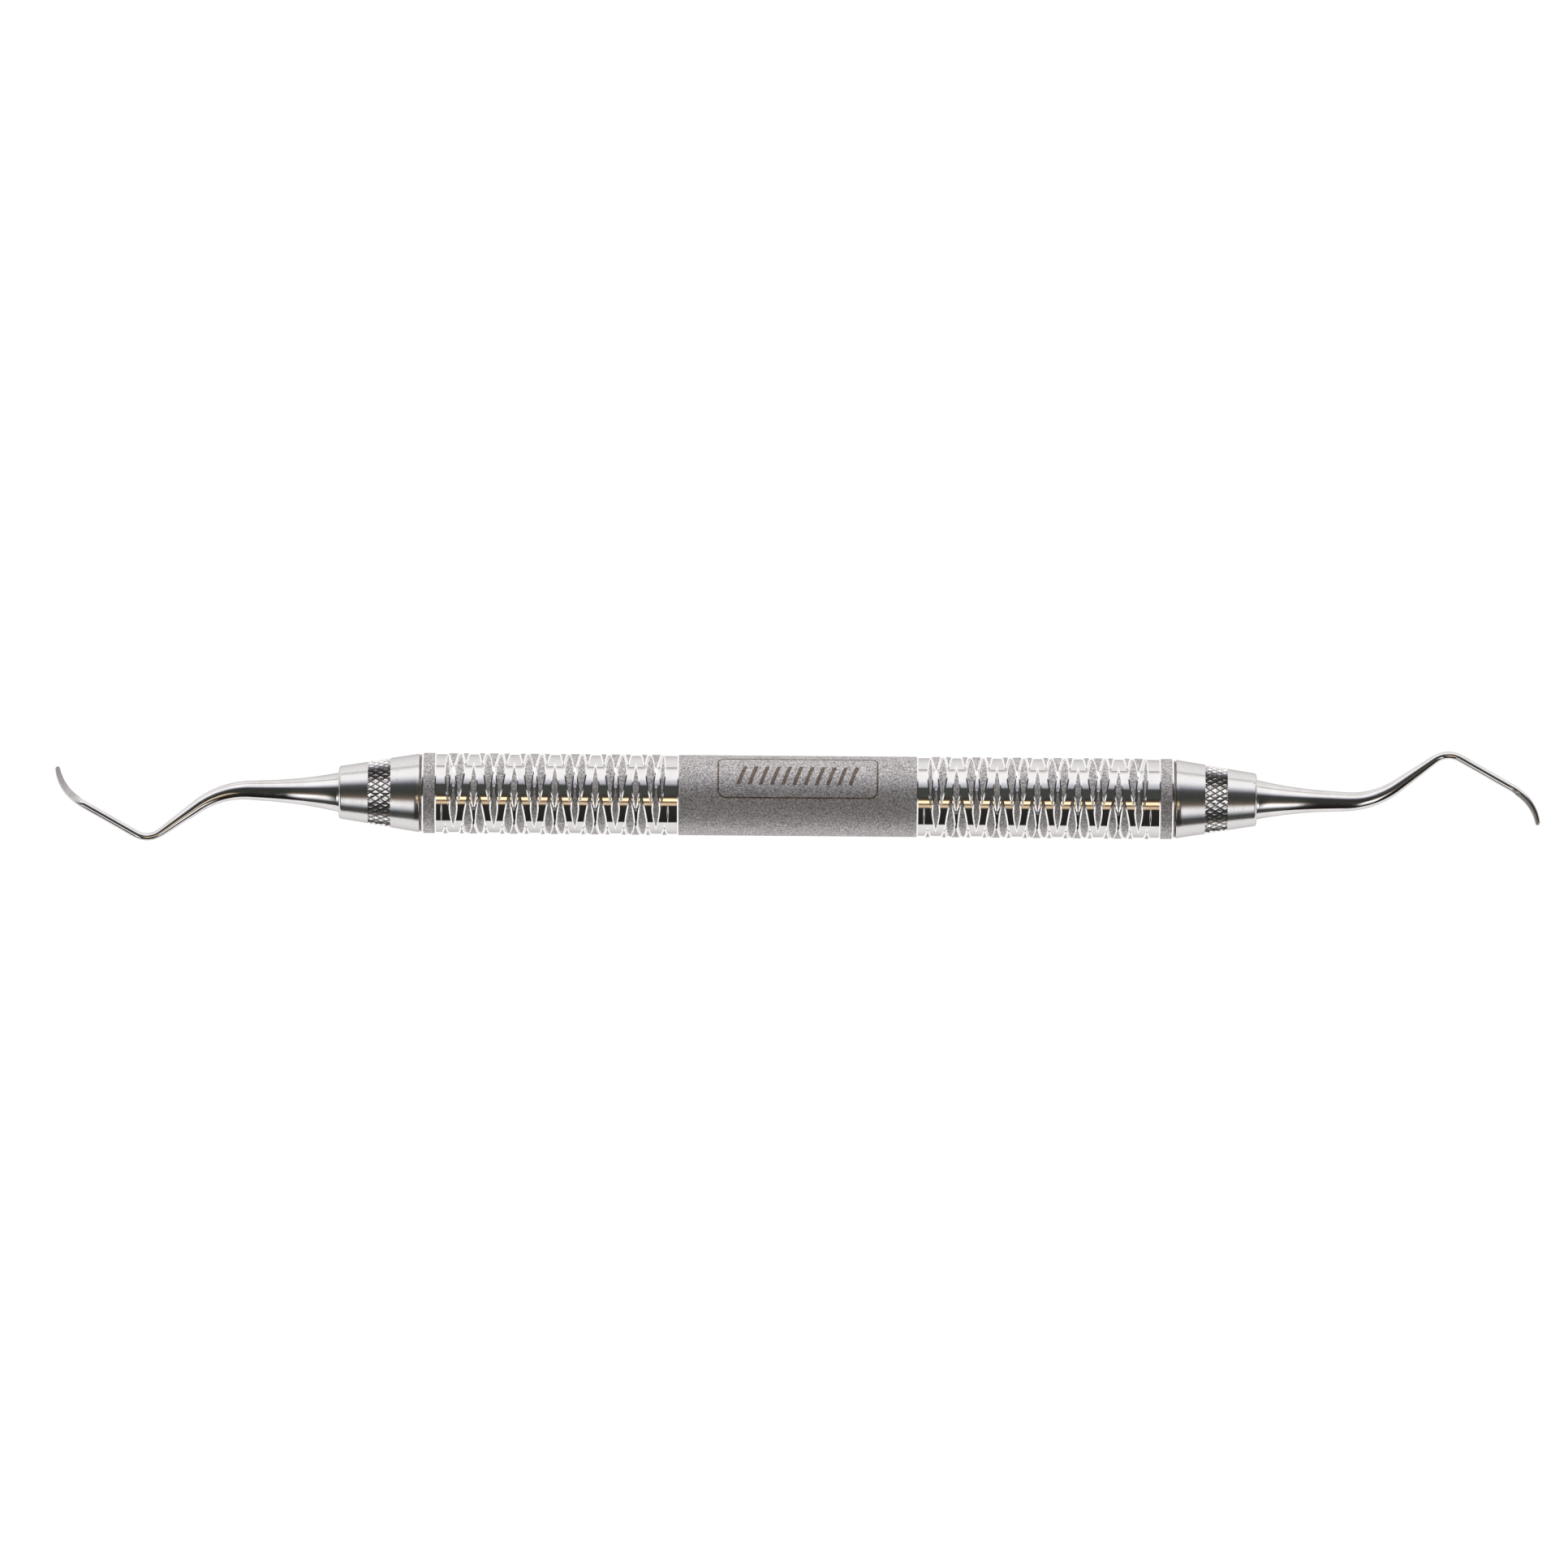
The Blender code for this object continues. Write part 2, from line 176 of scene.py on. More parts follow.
# Working end: corners of the centreline as (distance out of the nose, sideways distance)
SHANK_CORNERS = [(0.0, 0.0), (13.9, -0.2), (22.46, 5.95), (30.58, 1.42)]
SHANK_BEND_RADII = [10.3, 2.8]
SHANK_BASE_DIAMETER = 3.39  # before the flare is added
SHANK_TAPER = 0.107  # diameter lost per millimetre of centreline
FLARE_DIAMETER = 1.3  # added at the cone's nose, fading out over FLARE_LENGTH
FLARE_LENGTH = 8.0
TERMINAL_DIAMETER = 0.9
TANG_LENGTH = 7.6
TANG_RADIUS = 1.5
TANG_CHAMFER = 0.3
FOOT_DEPTH = 1.1  # of the shank's foot inside the socket's mouth
FOOT_CHAMFER = 0.08
BLADE_RADIUS = 5.54
BLADE_SWEEP = math.radians(54)
BLADE_WIDTH = 0.95
BLADE_DEPTH = 0.6
BLADE_TAPER = 0.4  # share of its width and depth that the blade loses towards the toe
BLADE_FACE_HEIGHT = 0.42 * BLADE_DEPTH  # of the flat face over the centreline
BLADE_TILT = math.radians(55)
HEEL_LENGTH = 1.1
TOE_LENGTH = 0.3
TOE_STEPS = 12
TOE_ROUNDING = 0.985  # 1 would bring the toe to a point
FACE_START = 0.7  # share of the way to the blade's section at which the ground face begins
FACE_SLANT = 0.28  # added to that share at one side of the face and taken off at the other
HONED_START = 0.95
HONED_FACETS = 7  # of the blade's back, next to its cutting edge
SHANK_AROUND = 48
SHANK_STEP = 0.3

# Table and camera, in metres
TABLE_RADIUS = 4.0
TABLE_DROP = 0.00005  # below the handle, so that the two don't touch
CAMERA_HEIGHT = 2.5  # above the handle's axis
CAMERA_PLACE = (-0.00163, 0.00140)
CAMERA_TURN = math.radians(0.47)
FRAME_WIDTH = 0.1851  # what the camera sees at the axis, from side to side

SIDES = {"left": -1, "right": 1}
DARK_RIM = (0.62, 0.61, 0.62)  # tint of steel where it turns away from the eye

# kinds of faces, each in the order of its piece's materials
FLOOR, TOP, WALL, ENGRAVED, TURNED = range(5)
SATIN, KNURL_FACE, KNURL_VALLEY = range(3)
SHANK, GROUND_FACE, HONED_EDGE = range(3)


# ---------------------------------------------------------------- meshes and pieces

def mesh_from(name, points, faces, materials, material_of=None, sharp=35, weld=2e-4):
    """A smooth-shaded mesh from points in millimetres, welded, facing out, with sharp creases."""
    bm = bmesh.new()
    verts = [bm.verts.new(point) for point in points]
    for index, face in enumerate(faces):
        made = bm.faces.new([verts[i] for i in face])
        if material_of:
            made.material_index = material_of[index]
    bmesh.ops.remove_doubles(bm, verts=bm.verts, dist=weld)
    bmesh.ops.dissolve_degenerate(bm, edges=bm.edges, dist=weld)
    bmesh.ops.recalc_face_normals(bm, faces=bm.faces)
    bmesh.ops.scale(bm, vec=(MM, MM, MM), verts=bm.verts)
    mesh = bpy.data.meshes.new(name)
    bm.to_mesh(mesh)
    bm.free()
    for material in materials:
        mesh.materials.append(material)
    mesh.shade_smooth()
    mesh.set_sharp_from_angle(angle=math.radians(sharp))
    return mesh


def add_piece(name, mesh, body, node):
    """Places a mesh on the handle's axis, and lets it stand for a CAD node."""
    piece = bpy.data.objects.new(name, mesh)
    piece.location.z = AXIS_HEIGHT
    bpy.context.scene.collection.objects.link(piece)
    bpy.context.view_layer.update()
    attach(piece, body)
    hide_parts(node)
    return piece


def round_point(x, radius, angle):
    """A point about the handle's axis, with its angle counted from the top towards -Y."""
    return x, -radius * math.sin(angle), radius * math.cos(angle)


def angles_round(count):
    """The angles of so many points spread evenly round a circle."""
    return [FULL_TURN * i / count for i in range(count)]


def spread(start, end, steps):
    """Evenly spread numbers from start to end, both included."""
    return [start + (end - start) * i / steps for i in range(steps + 1)]


def revolved(profile, around, side):
    """Points and faces of a profile of (distance from the middle, radius) turned about X."""
    angles = angles_round(around)
    points = [round_point(side * x, radius, angle) for x, radius in profile for angle in angles]
    return points, grid_faces(len(profile), around)


def grid_faces(rows, columns, closed=True):
    """Quads of a grid of points. A closed grid meets itself again after its last column."""
    faces = []
    for row in range(rows - 1):
        near = row * columns
        far = near + columns
        for column in range(columns if closed else columns - 1):
            after = (column + 1) % columns
            faces.append((near + column, near + after, far + after, far + column))
    return faces


# ---------------------------------------------------------------- node helpers

class Graph:
    """The node tree of a material or of the world, with short ways to add nodes."""

    def __init__(self, tree):
        self.nodes = tree.nodes
        self.links = tree.links

    def put(self, value, socket):
        """Gives a socket a number or a colour, or links another node's output to it."""
        if isinstance(value, tuple):
            socket.default_value = (*value, 1.0)
        elif isinstance(value, (int, float)):
            socket.default_value = value
        else:
            self.links.new(value, socket)

    def calculate(self, operation, *values):
        node = self.nodes.new("ShaderNodeMath")
        node.operation = operation
        for value, socket in zip(values, node.inputs):
            self.put(value, socket)
        return node.outputs[0]

    def remap(self, value, low, high, new_low=0.0, new_high=1.0):
        """A smooth step from new_low to new_high, while the value goes from low to high."""
        node = self.nodes.new("ShaderNodeMapRange")
        node.interpolation_type = "SMOOTHSTEP"
        for number, socket in zip((value, low, high, new_low, new_high), node.inputs):
            self.put(number, socket)
        return node.outputs["Result"]

    def blend(self, share, first, second):
        """A colour that goes from first to second as the share goes from 0 to 1."""
        node = self.nodes.new("ShaderNodeMix")
        node.data_type = "RGBA"
        self.put(share, node.inputs["Factor"])
        self.put(first, node.inputs[6])
        self.put(second, node.inputs[7])
        return node.outputs[2]


class Surface(Graph):
    """A Principled material whose detail comes from procedural textures in the piece's own space."""

    def __init__(self, name, colour, roughness, metallic=1.0, rim=(1.0, 1.0, 1.0)):
        self.material = bpy.data.materials.new(name)
        self.material.use_nodes = True
        super().__init__(self.material.node_tree)
        self.shader = self.nodes["Principled BSDF"]
        self.shader.inputs["Base Color"].default_value = (*colour, 1.0)
        self.shader.inputs["Roughness"].default_value = roughness
        self.shader.inputs["Metallic"].default_value = metallic
        self.shader.inputs["Specular Tint"].default_value = (*rim, 1.0)
        self.coordinates = self.nodes.new("ShaderNodeTexCoord").outputs["Object"]

    def stretched(self, scale):
        """The piece's coordinates in millimetres, stretched by scale along X, Y and Z."""
        mapping = self.nodes.new("ShaderNodeMapping")
        mapping.inputs["Scale"].default_value = [value / MM for value in scale]
        self.links.new(self.coordinates, mapping.inputs["Vector"])
        return mapping.outputs["Vector"]

    def noise(self, scale, detail=2.0, roughness=0.5):
        texture = self.nodes.new("ShaderNodeTexNoise")
        texture.inputs["Scale"].default_value = 1.0
        texture.inputs["Detail"].default_value = detail
        texture.inputs["Roughness"].default_value = roughness
        self.links.new(self.stretched(scale), texture.inputs["Vector"])
        return texture.outputs["Fac"]

    def total(self, first, second, share):
        """first plus second times share."""
        return self.calculate("MULTIPLY_ADD", second, share, first)

    def bump(self, height, distance, strength=1.0):
        node = self.nodes.new("ShaderNodeBump")
        node.inputs["Strength"].default_value = strength
        node.inputs["Distance"].default_value = distance * MM
        self.links.new(height, node.inputs["Height"])
        self.links.new(node.outputs["Normal"], self.shader.inputs["Normal"])

    def feed(self, socket, value):
        self.links.new(value, self.shader.inputs[socket])

    def tint(self, value, low, high, first, second, most=1.0):
        """Base colour that goes from first towards second as the value goes from low to high."""
        share = self.remap(value, low, high, new_high=most)
        self.feed("Base Color", self.blend(share, first, second))


# ---------------------------------------------------------------- materials

def blasted_steel():
    """Grit-blasted steel: a grey grain of dark pits and bright facets, a little cloudy."""
    steel = Surface("blasted_steel", (0.42, 0.41, 0.40), 0.5, rim=DARK_RIM)
    grain = steel.noise((5.0, 5.0, 5.0), detail=3.0, roughness=0.7)
    clouds = steel.noise((0.35, 0.35, 0.35), detail=3.0)
    glints = steel.noise((6.0, 6.0, 6.0), detail=1.0)
    tone = steel.blend(steel.remap(grain, 0.32, 0.68), (0.30, 0.285, 0.285), (0.84, 0.81, 0.81))
    worn = steel.blend(steel.remap(clouds, 0.35, 0.75, new_high=0.25), tone, (0.62, 0.595, 0.59))
    steel.tint(glints, 0.64, 0.7, worn, (0.95, 0.94, 0.94))
    steel.feed("Roughness", steel.remap(grain, 0.3, 0.72, 0.66, 0.44))
    steel.bump(steel.total(grain, glints, 0.6), 0.07, 0.9)
    return steel.material


def polished_steel():
    """Ground and polished steel: near mirror, with faint grinding lines round the handle and wear."""
    steel = Surface("polished_steel", (0.72, 0.70, 0.685), 0.07, rim=DARK_RIM)
    rings = steel.noise((5.0, 0.12, 0.12), detail=3.0, roughness=0.6)
    smears = steel.noise((0.5, 0.5, 0.5), detail=4.0)
    steel.tint(smears, 0.3, 0.8, (0.73, 0.72, 0.71), (0.67, 0.655, 0.645))
    steel.feed("Roughness", steel.remap(steel.total(rings, smears, 0.7), 0.55, 1.15, 0.04, 0.1))
    steel.bump(rings, 0.004, 0.3)
    return steel.material


def wall_painted_highlight_steel():
    """The sloped walls of the lands, painted near-white: a painted highlight for the light that the walls
    catch.
    """
    steel = Surface("wall_painted_highlight_steel", (0.92, 0.91, 0.90), 0.12)
    grain = steel.noise((7.0, 7.0, 7.0), detail=2.0)
    steel.tint(grain, 0.3, 0.7, (0.96, 0.95, 0.945), (0.85, 0.84, 0.83))
    steel.feed("Roughness", steel.remap(grain, 0.3, 0.7, 0.08, 0.16))
    steel.bump(grain, 0.003, 0.3)
    return steel.material


def engraved_steel():
    """The laser-cut line: a scorched brown groove."""
    steel = Surface("engraved_steel", (0.16, 0.12, 0.09), 0.5, metallic=0.7)
    char = steel.noise((5.0, 5.0, 5.0), detail=3.0, roughness=0.6)
    steel.tint(char, 0.3, 0.7, (0.10, 0.075, 0.06), (0.34, 0.27, 0.22))
    steel.feed("Roughness", steel.remap(char, 0.3, 0.7, 0.4, 0.65))
    steel.bump(char, 0.02, 0.5)
    return steel.material


def satin_steel():
    """The cones: satin steel with a fine speckle, faint lathe lines round it and a few pits."""
    steel = Surface("satin_steel", (0.70, 0.69, 0.68), 0.17, rim=DARK_RIM)
    lines = steel.noise((9.0, 0.25, 0.25), detail=3.0, roughness=0.7)
    speckle = steel.noise((13.0, 13.0, 13.0), detail=2.0, roughness=0.6)
    pits = steel.noise((2.2, 2.2, 2.2), detail=2.0)
    shade = steel.blend(steel.remap(speckle, 0.3, 0.7), (0.66, 0.65, 0.64), (0.76, 0.75, 0.75))
    steel.tint(pits, 0.70, 0.78, shade, (0.30, 0.27, 0.24), most=0.6)
    steel.feed("Roughness", steel.remap(steel.total(speckle, lines, 0.5), 0.5, 1.0, 0.13, 0.24))
    steel.bump(steel.total(speckle, lines, 0.5), 0.003, 0.5)
    return steel.material


def knurl_steel(name, dark, light, roughness):
    """Steel of the knurled band, a little roughened by the rolling: a near-white copy for its faces,
    painted highlight, or a dark copy for its grooves, painted shade.
    """
    steel = Surface(name, light, roughness)
    grain = steel.noise((6.0, 6.0, 6.0), detail=3.0, roughness=0.6)
    steel.tint(grain, 0.3, 0.7, dark, light)
    steel.feed("Roughness", steel.remap(grain, 0.3, 0.7, roughness * 0.6, roughness * 1.4))
    steel.bump(grain, 0.003, 0.3)
    return steel.material


def mirror_steel():
    """The shanks: mirror-polished steel with faint polishing marks along them."""
    steel = Surface("mirror_steel", (0.74, 0.73, 0.72), 0.06, rim=DARK_RIM)
    marks = steel.noise((0.5, 4.5, 4.5), detail=3.0, roughness=0.6)
    smears = steel.noise((0.6, 0.6, 0.6), detail=4.0)
    steel.tint(smears, 0.3, 0.8, (0.77, 0.76, 0.76), (0.66, 0.645, 0.635))
    steel.feed("Roughness", steel.remap(steel.total(smears, marks, 0.6), 0.5, 1.1, 0.04, 0.12))
    steel.bump(marks, 0.005, 0.3)
    return steel.material


def ground_steel(name, base, light, worn_tone):
    """The blade's ground face, or in a darker copy its honed edge, whose darker colours are painted shade;
    dull from the stone, the lines running across.
    """
    steel = Surface(name, base, 0.6, rim=DARK_RIM)
    lines = steel.noise((14.0, 3.0, 3.0), detail=3.0, roughness=0.7)
    worn = steel.noise((0.9, 0.9, 0.9), detail=3.0)
    shade = steel.blend(steel.remap(lines, 0.3, 0.7), base, light)
    steel.tint(worn, 0.55, 0.75, shade, worn_tone, most=0.5)
    steel.feed("Roughness", steel.remap(lines, 0.3, 0.7, 0.52, 0.68))
    steel.bump(lines, 0.006, 0.4)
    return steel.material


def turned_steel(name):
    """Studs and inserts: machined steel with tool marks and a trace of dried oil."""
    steel = Surface(name, (0.56, 0.55, 0.53), 0.3)
    lines = steel.noise((9.0, 0.5, 0.5), detail=3.0, roughness=0.6)
    oil = steel.noise((0.8, 0.8, 0.8), detail=4.0)
    steel.tint(oil, 0.4, 0.7, (0.60, 0.59, 0.57), (0.46, 0.43, 0.39))
    steel.feed("Roughness", steel.remap(steel.total(lines, oil, 0.5), 0.5, 1.1, 0.22, 0.42))
    steel.bump(lines, 0.012, 0.5)
    return steel.material


def amber_seal():
    """The sealing washer: brownish polymer, darker and grimy in places."""
    seal = Surface("amber_seal", (0.45, 0.36, 0.28), 0.42, metallic=0.0)
    grime = seal.noise((1.6, 1.6, 1.6), detail=4.0, roughness=0.6)
    seal.tint(grime, 0.35, 0.7, (0.52, 0.44, 0.36), (0.28, 0.19, 0.12))
    seal.feed("Roughness", seal.remap(grime, 0.3, 0.7, 0.34, 0.6))
    seal.bump(grime, 0.02, 0.4)
    return seal.material


# ---------------------------------------------------------------- handle

class Leaf:
    """A pointed, lens-shaped land on the unrolled grip zone: x along the handle, arc round it.

    The width and the half angle are those of its flat top, and its walls stand outside them. A ridge has
    no flat top: its two walls meet.
    """

    def __init__(self, start, end, angle, half_angle, width, bow=0.0, ridge=False):
        self.start = start  # x of the tip at the lower angle
        self.end = end
        self.bow = bow  # how far the middle stands out sideways of the line between the tips
        self.middle = angle * HANDLE_RADIUS
        self.half_width = width / 2 if ridge else width / 2 + LAND_SLOPE
        spread = 1 if ridge else (2 * self.half_width / width) ** (1 / LEAF_TAPER)
        self.half_length = half_angle * HANDLE_RADIUS * spread

    def moved(self, turns):
        copied = copy.copy(self)
        copied.middle += turns * FULL_TURN * HANDLE_RADIUS
        return copied

    def centre(self, t):
        return self.start + (self.end - self.start) * (t + 1) / 2 + self.bow * (1 - t * t)

    def outlines(self):
        """The foot of the walls, and where there is a flat top its edge, or a ridge's crest."""
        if self.half_width > LAND_SLOPE:
            return [self.outline(0.0), self.outline(LAND_SLOPE)]
        steps = [self.half_length * (2 * i / LEAF_STEPS - 1) for i in range(2, LEAF_STEPS - 1)]
        crest = [(self.centre(arc / self.half_length), self.middle + arc) for arc in steps]
        return [self.outline(0.0), crest + crest[-2:0:-1]]

    def outline(self, inset):
        """The closed outline, inset from the leaf's edge."""
        reach = (1 - inset / self.half_width) ** (1 / LEAF_TAPER)
        steps = [reach * (2 * i / LEAF_STEPS - 1) for i in range(LEAF_STEPS + 1)]
        right = []
        left = []
        for t in steps:
            width = max(0.0, self.half_width * (1 - abs(t) ** LEAF_TAPER) - inset)
            arc = self.middle + self.half_length * t
            right.append((self.centre(t) + width, arc))
            left.append((self.centre(t) - width, arc))
        return right + left[-2:0:-1]

    def depth(self, x, arc):
        """How far each point lies inside the edge, measured along x; negative outside."""
        t = (arc - self.middle) / self.half_length
        inside = self.half_width * (1 - np.abs(t) ** LEAF_TAPER) - np.abs(x - self.centre(t))
        return np.where(np.abs(t) < 1, inside, -1.0)


def column_leaves(x, flip, outer_widths):
    """The leaves of one column. Every other column is flipped round the handle."""
    leaves = []

    def leaf(start, end, angle, half_angle, width, bow=0.0):
        middle = PATTERN_TURN + math.radians(-angle if flip else angle)
        if flip:
            start, end = end, start
        leaves.append(Leaf(x + start, x + end, middle, math.radians(half_angle), width, bow))

    leaf(0, 0, *LONE_LEAF)
    for (beside, other, bow, low), width in zip(OUTER_LEAVES, outer_widths):
        leaf(beside, other, OUTER_ANGLE, OUTER_HALF_ANGLE, width, bow)
        leaf(other, beside, -180 - OUTER_ANGLE, OUTER_HALF_ANGLE, width, bow)
        leaf(low, low, *LOW_LEAF)
    leaf(0, 0, MIDDLE_ANGLE, MIDDLE_HALF_ANGLE, MIDDLE_WIDTH)
    leaf(0, 0, 180 - MIDDLE_ANGLE, MIDDLE_HALF_ANGLE, MIDDLE_WIDTH)
    return leaves


def sliver(x):
    """A single narrow ridge beside the pattern."""
    angle = math.radians(SLIVER_ANGLE)
    half_angle = math.radians(SLIVER_HALF_ANGLE)
    return Leaf(x, x, angle, half_angle, SLIVER_WIDTH, ridge=True)


def grip_leaves():
    """Every leaf of both grip zones, with copies where a leaf crosses the unrolled seam."""
    leaves = []
    for first in FIRST_COLUMNS:
        for index in range(COLUMNS):
            near_width = SLIM_OUTER_WIDTH if index == 0 else OUTER_WIDTH
            far_width = SLIM_OUTER_WIDTH if index == COLUMNS - 1 else OUTER_WIDTH
            leaves += column_leaves(first + index * COLUMN_PITCH, False, (near_width, far_width))
        for index in range(COLUMNS - 1):
            x = first + (index + 0.5) * COLUMN_PITCH
            leaves += column_leaves(x, True, (OUTER_WIDTH, OUTER_WIDTH))
        last = first + (COLUMNS - 1) * COLUMN_PITCH
        leaves += [sliver(first - SLIVER_OFFSET), sliver(last + SLIVER_OFFSET)]
    half_round = math.pi * HANDLE_RADIUS
    copies = []
    for leaf in leaves:
        if leaf.middle + leaf.half_length > half_round:
            copies.append(leaf.moved(-1))
        if leaf.middle - leaf.half_length < -half_round:
            copies.append(leaf.moved(1))
    return leaves + copies


def rounded_rectangle(half_length, half_height, corner):
    """Outline round the panel's middle, with points close enough together to follow the handle."""
    outline = []
    quarters = [(1, 1, 0), (-1, 1, 1), (-1, -1, 2), (1, -1, 3)]
    for sign_x, sign_y, quarter in quarters:
        for step in range(CORNER_STEPS + 1):
            angle = math.pi / 2 * (quarter + step / CORNER_STEPS)
            outline.append((
                sign_x * (half_length - corner) + corner * math.cos(angle),
                sign_y * (half_height - corner) + corner * math.sin(angle),
            ))
    return subdivided(outline)


def subdivided(outline):
    """The closed outline with extra points, so that no side is longer than OUTLINE_STEP."""
    result = []
    for index, point in enumerate(outline):
        after = outline[(index + 1) % len(outline)]
        count = max(1, math.ceil(math.dist(point, after) / OUTLINE_STEP))
        for k in range(count):
            share = k / count
            result.append(tuple(a + (b - a) * share for a, b in zip(point, after)))
    return result


def panel_outlines():
    """Edges and floor lines of the engraved frame and strokes."""
    outlines = []
    for offset in (ENGRAVED_LINE / 2, ENGRAVED_LINE / 2 - ENGRAVED_SLOPE):
        for sign in (-1, 1):
            grow = sign * offset
            sizes = [size + grow for size in (PANEL_HALF_LENGTH, PANEL_HALF_HEIGHT, PANEL_CORNER)]
            outlines.append(rounded_rectangle(*sizes))
    for x in stroke_positions():
        for inset in (0.0, ENGRAVED_SLOPE):
            width = STROKE_WIDTH / 2 - inset
            height = STROKE_HALF_HEIGHT - inset
            corners = [(-width, -height), (width, -height), (width, height), (-width, height)]
            outlines.append(subdivided([(x + a + STROKE_SLANT * b, b) for a, b in corners]))
    middle = PANEL_ANGLE * HANDLE_RADIUS
    return [[(x, arc + middle) for x, arc in outline] for outline in outlines]


def stroke_positions():
    """x of the middle of each engraved stroke."""
    return [(index - (STROKES - 1) / 2) * STROKE_PITCH for index in range(STROKES)]


def panel_depth(x, arc):
    """How far each point lies inside an engraved line; negative outside."""
    arc = arc - PANEL_ANGLE * HANDLE_RADIUS
    over_x = np.abs(x) - (PANEL_HALF_LENGTH - PANEL_CORNER)
    over_y = np.abs(arc) - (PANEL_HALF_HEIGHT - PANEL_CORNER)
    outside = np.hypot(np.maximum(over_x, 0), np.maximum(over_y, 0))
    distance = outside + np.minimum(np.maximum(over_x, over_y), 0) - PANEL_CORNER
    depth = ENGRAVED_LINE / 2 - np.abs(distance)
    for centre in stroke_positions():
        sideways = STROKE_WIDTH / 2 - np.abs(x - centre - STROKE_SLANT * arc)
        depth = np.maximum(depth, np.minimum(sideways, STROKE_HALF_HEIGHT - np.abs(arc)))
    return depth


def land_depth(x, arc, leaves):
    """How far each point lies inside a land or a blasted band; negative on the polished floor."""
    along = np.abs(x)
    end_band = END_BAND_WIDTH / 2 - np.abs(along - (END_BAND_EDGE - END_BAND_WIDTH / 2))
    depth = np.maximum(CENTRE_BAND_HALF - along, end_band) + LAND_SLOPE
    for leaf in leaves:
        depth = np.maximum(depth, leaf.depth(x, arc))
    return depth


def band_edges():
    """x of the edges of the blasted bands and of the feet of their walls, on both sides."""
    inner_edge = END_BAND_EDGE - END_BAND_WIDTH
    walls = [(CENTRE_BAND_HALF, LAND_SLOPE), (inner_edge, -LAND_SLOPE), (END_BAND_EDGE, LAND_SLOPE)]
    edges = []
    for edge, wall in walls:
        for x in (edge, edge + wall):
            edges += [-x, x]
    return edges


def unrolled_triangles(leaves):
    """Triangles of the unrolled outside of the handle, split along every land and engraved line."""
    half_length = TUBE_END - EDGE_CHAMFER
    half_round = math.pi * HANDLE_RADIUS
    arcs = [half_round * (2 * i / AROUND - 1) for i in range(AROUND + 1)]
    count = round(2 * half_length / GRID_STEP)
    lines = [half_length * (2 * i / count - 1) for i in range(count + 1)]
    band_lines = band_edges()
    clear = GRID_STEP / 3
    lines = [x for x in lines if min(abs(x - band) for band in band_lines) > clear]
    lines = sorted(lines + band_lines)

    grid_x, grid_arc = np.meshgrid(lines, arcs[1:-1])
    x, arc = grid_x.ravel(), grid_arc.ravel()
    leaf_depth = np.full(len(x), -1.0)
    for leaf in leaves:
        leaf_depth = np.maximum(leaf_depth, leaf.depth(x, arc))
    engraved = panel_depth(x, arc)
    free = (leaf_depth < -GRID_MARGIN) | (leaf_depth > LAND_SLOPE + GRID_MARGIN)
    free &= (engraved < -GRID_MARGIN) | (engraved > ENGRAVED_SLOPE + GRID_MARGIN)
    points = [(a, b) for a, b, keep in zip(x, arc, free) if keep]

    border = [(x, arcs[0]) for x in lines]
    border += [(half_length, a) for a in arcs[1:]]
    border += [(x, arcs[-1]) for x in reversed(lines[:-1])]
    border += [(-half_length, a) for a in arcs[-2:0:-1]]
    loops = [border]
    for leaf in leaves:
        loops += leaf.outlines()
    loops += panel_outlines()
    edges = []
    for loop in loops:
        first = len(points)
        points += loop
        edges += [(first + i, first + (i + 1) % len(loop)) for i in range(len(loop))]
    for band in band_lines:
        first = len(points)
        points += [(band, a) for a in arcs]
        edges += [(first + i, first + i + 1) for i in range(len(arcs) - 1)]

    vectors = [Vector(point) for point in points]
    verts, _, faces, _, _, _ = delaunay_2d_cdt(vectors, edges, [], 0, 1e-5)  # 0 keeps every triangle
    flat = np.array([tuple(vert) for vert in verts])
    middles = np.array([flat[list(face)].mean(axis=0) for face in faces])
    kept = (np.abs(middles[:, 0]) < half_length) & (np.abs(middles[:, 1]) < half_round)
    return flat, [tuple(face) for face, keep in zip(faces, kept) if keep], middles[kept]


def handle_skin():
    """Points, faces and kinds of face of the whole tube, outside, mouths and bore."""
    leaves = grip_leaves()
    flat, triangles, middles = unrolled_triangles(leaves)
    x, arc = flat[:, 0], flat[:, 1]
    raised = np.clip(land_depth(x, arc, leaves) / LAND_SLOPE, 0, 1)
    sunk = np.clip(panel_depth(x, arc) / ENGRAVED_SLOPE, 0, 1)
    radius = HANDLE_RADIUS - LAND_HEIGHT * (1 - raised) - ENGRAVED_DEPTH * sunk
    angle = arc / HANDLE_RADIUS
    points = np.stack([x, -radius * np.sin(angle), radius * np.cos(angle)], axis=1)

    share = land_depth(middles[:, 0], middles[:, 1], leaves) / LAND_SLOPE
    engraved = panel_depth(middles[:, 0], middles[:, 1]) > ENGRAVED_SHARE * ENGRAVED_SLOPE
    kinds = np.where(share < FLOOR_SHARE, FLOOR, np.where(share > TOP_SHARE, TOP, WALL))
    kinds = np.where(engraved, ENGRAVED, kinds)

    floor_radius = HANDLE_RADIUS - LAND_HEIGHT
    mouth = [
        (TUBE_END - EDGE_CHAMFER, floor_radius),
        (TUBE_END, floor_radius - EDGE_CHAMFER),
        (TUBE_END, BORE_RADIUS + MOUTH_CHAMFER),
        (TUBE_END - MOUTH_CHAMFER, BORE_RADIUS),
    ]
    profile = mouth + [(-a, b) for a, b in reversed(mouth)]
    turned_points, turned_faces = revolved(profile, AROUND, 1)
    offset = len(points)
    all_points = [tuple(point) for point in points] + turned_points
    all_faces = triangles + [tuple(offset + i for i in face) for face in turned_faces]
    all_kinds = list(kinds) + [TURNED] * len(turned_faces)
    return all_points, all_faces, all_kinds


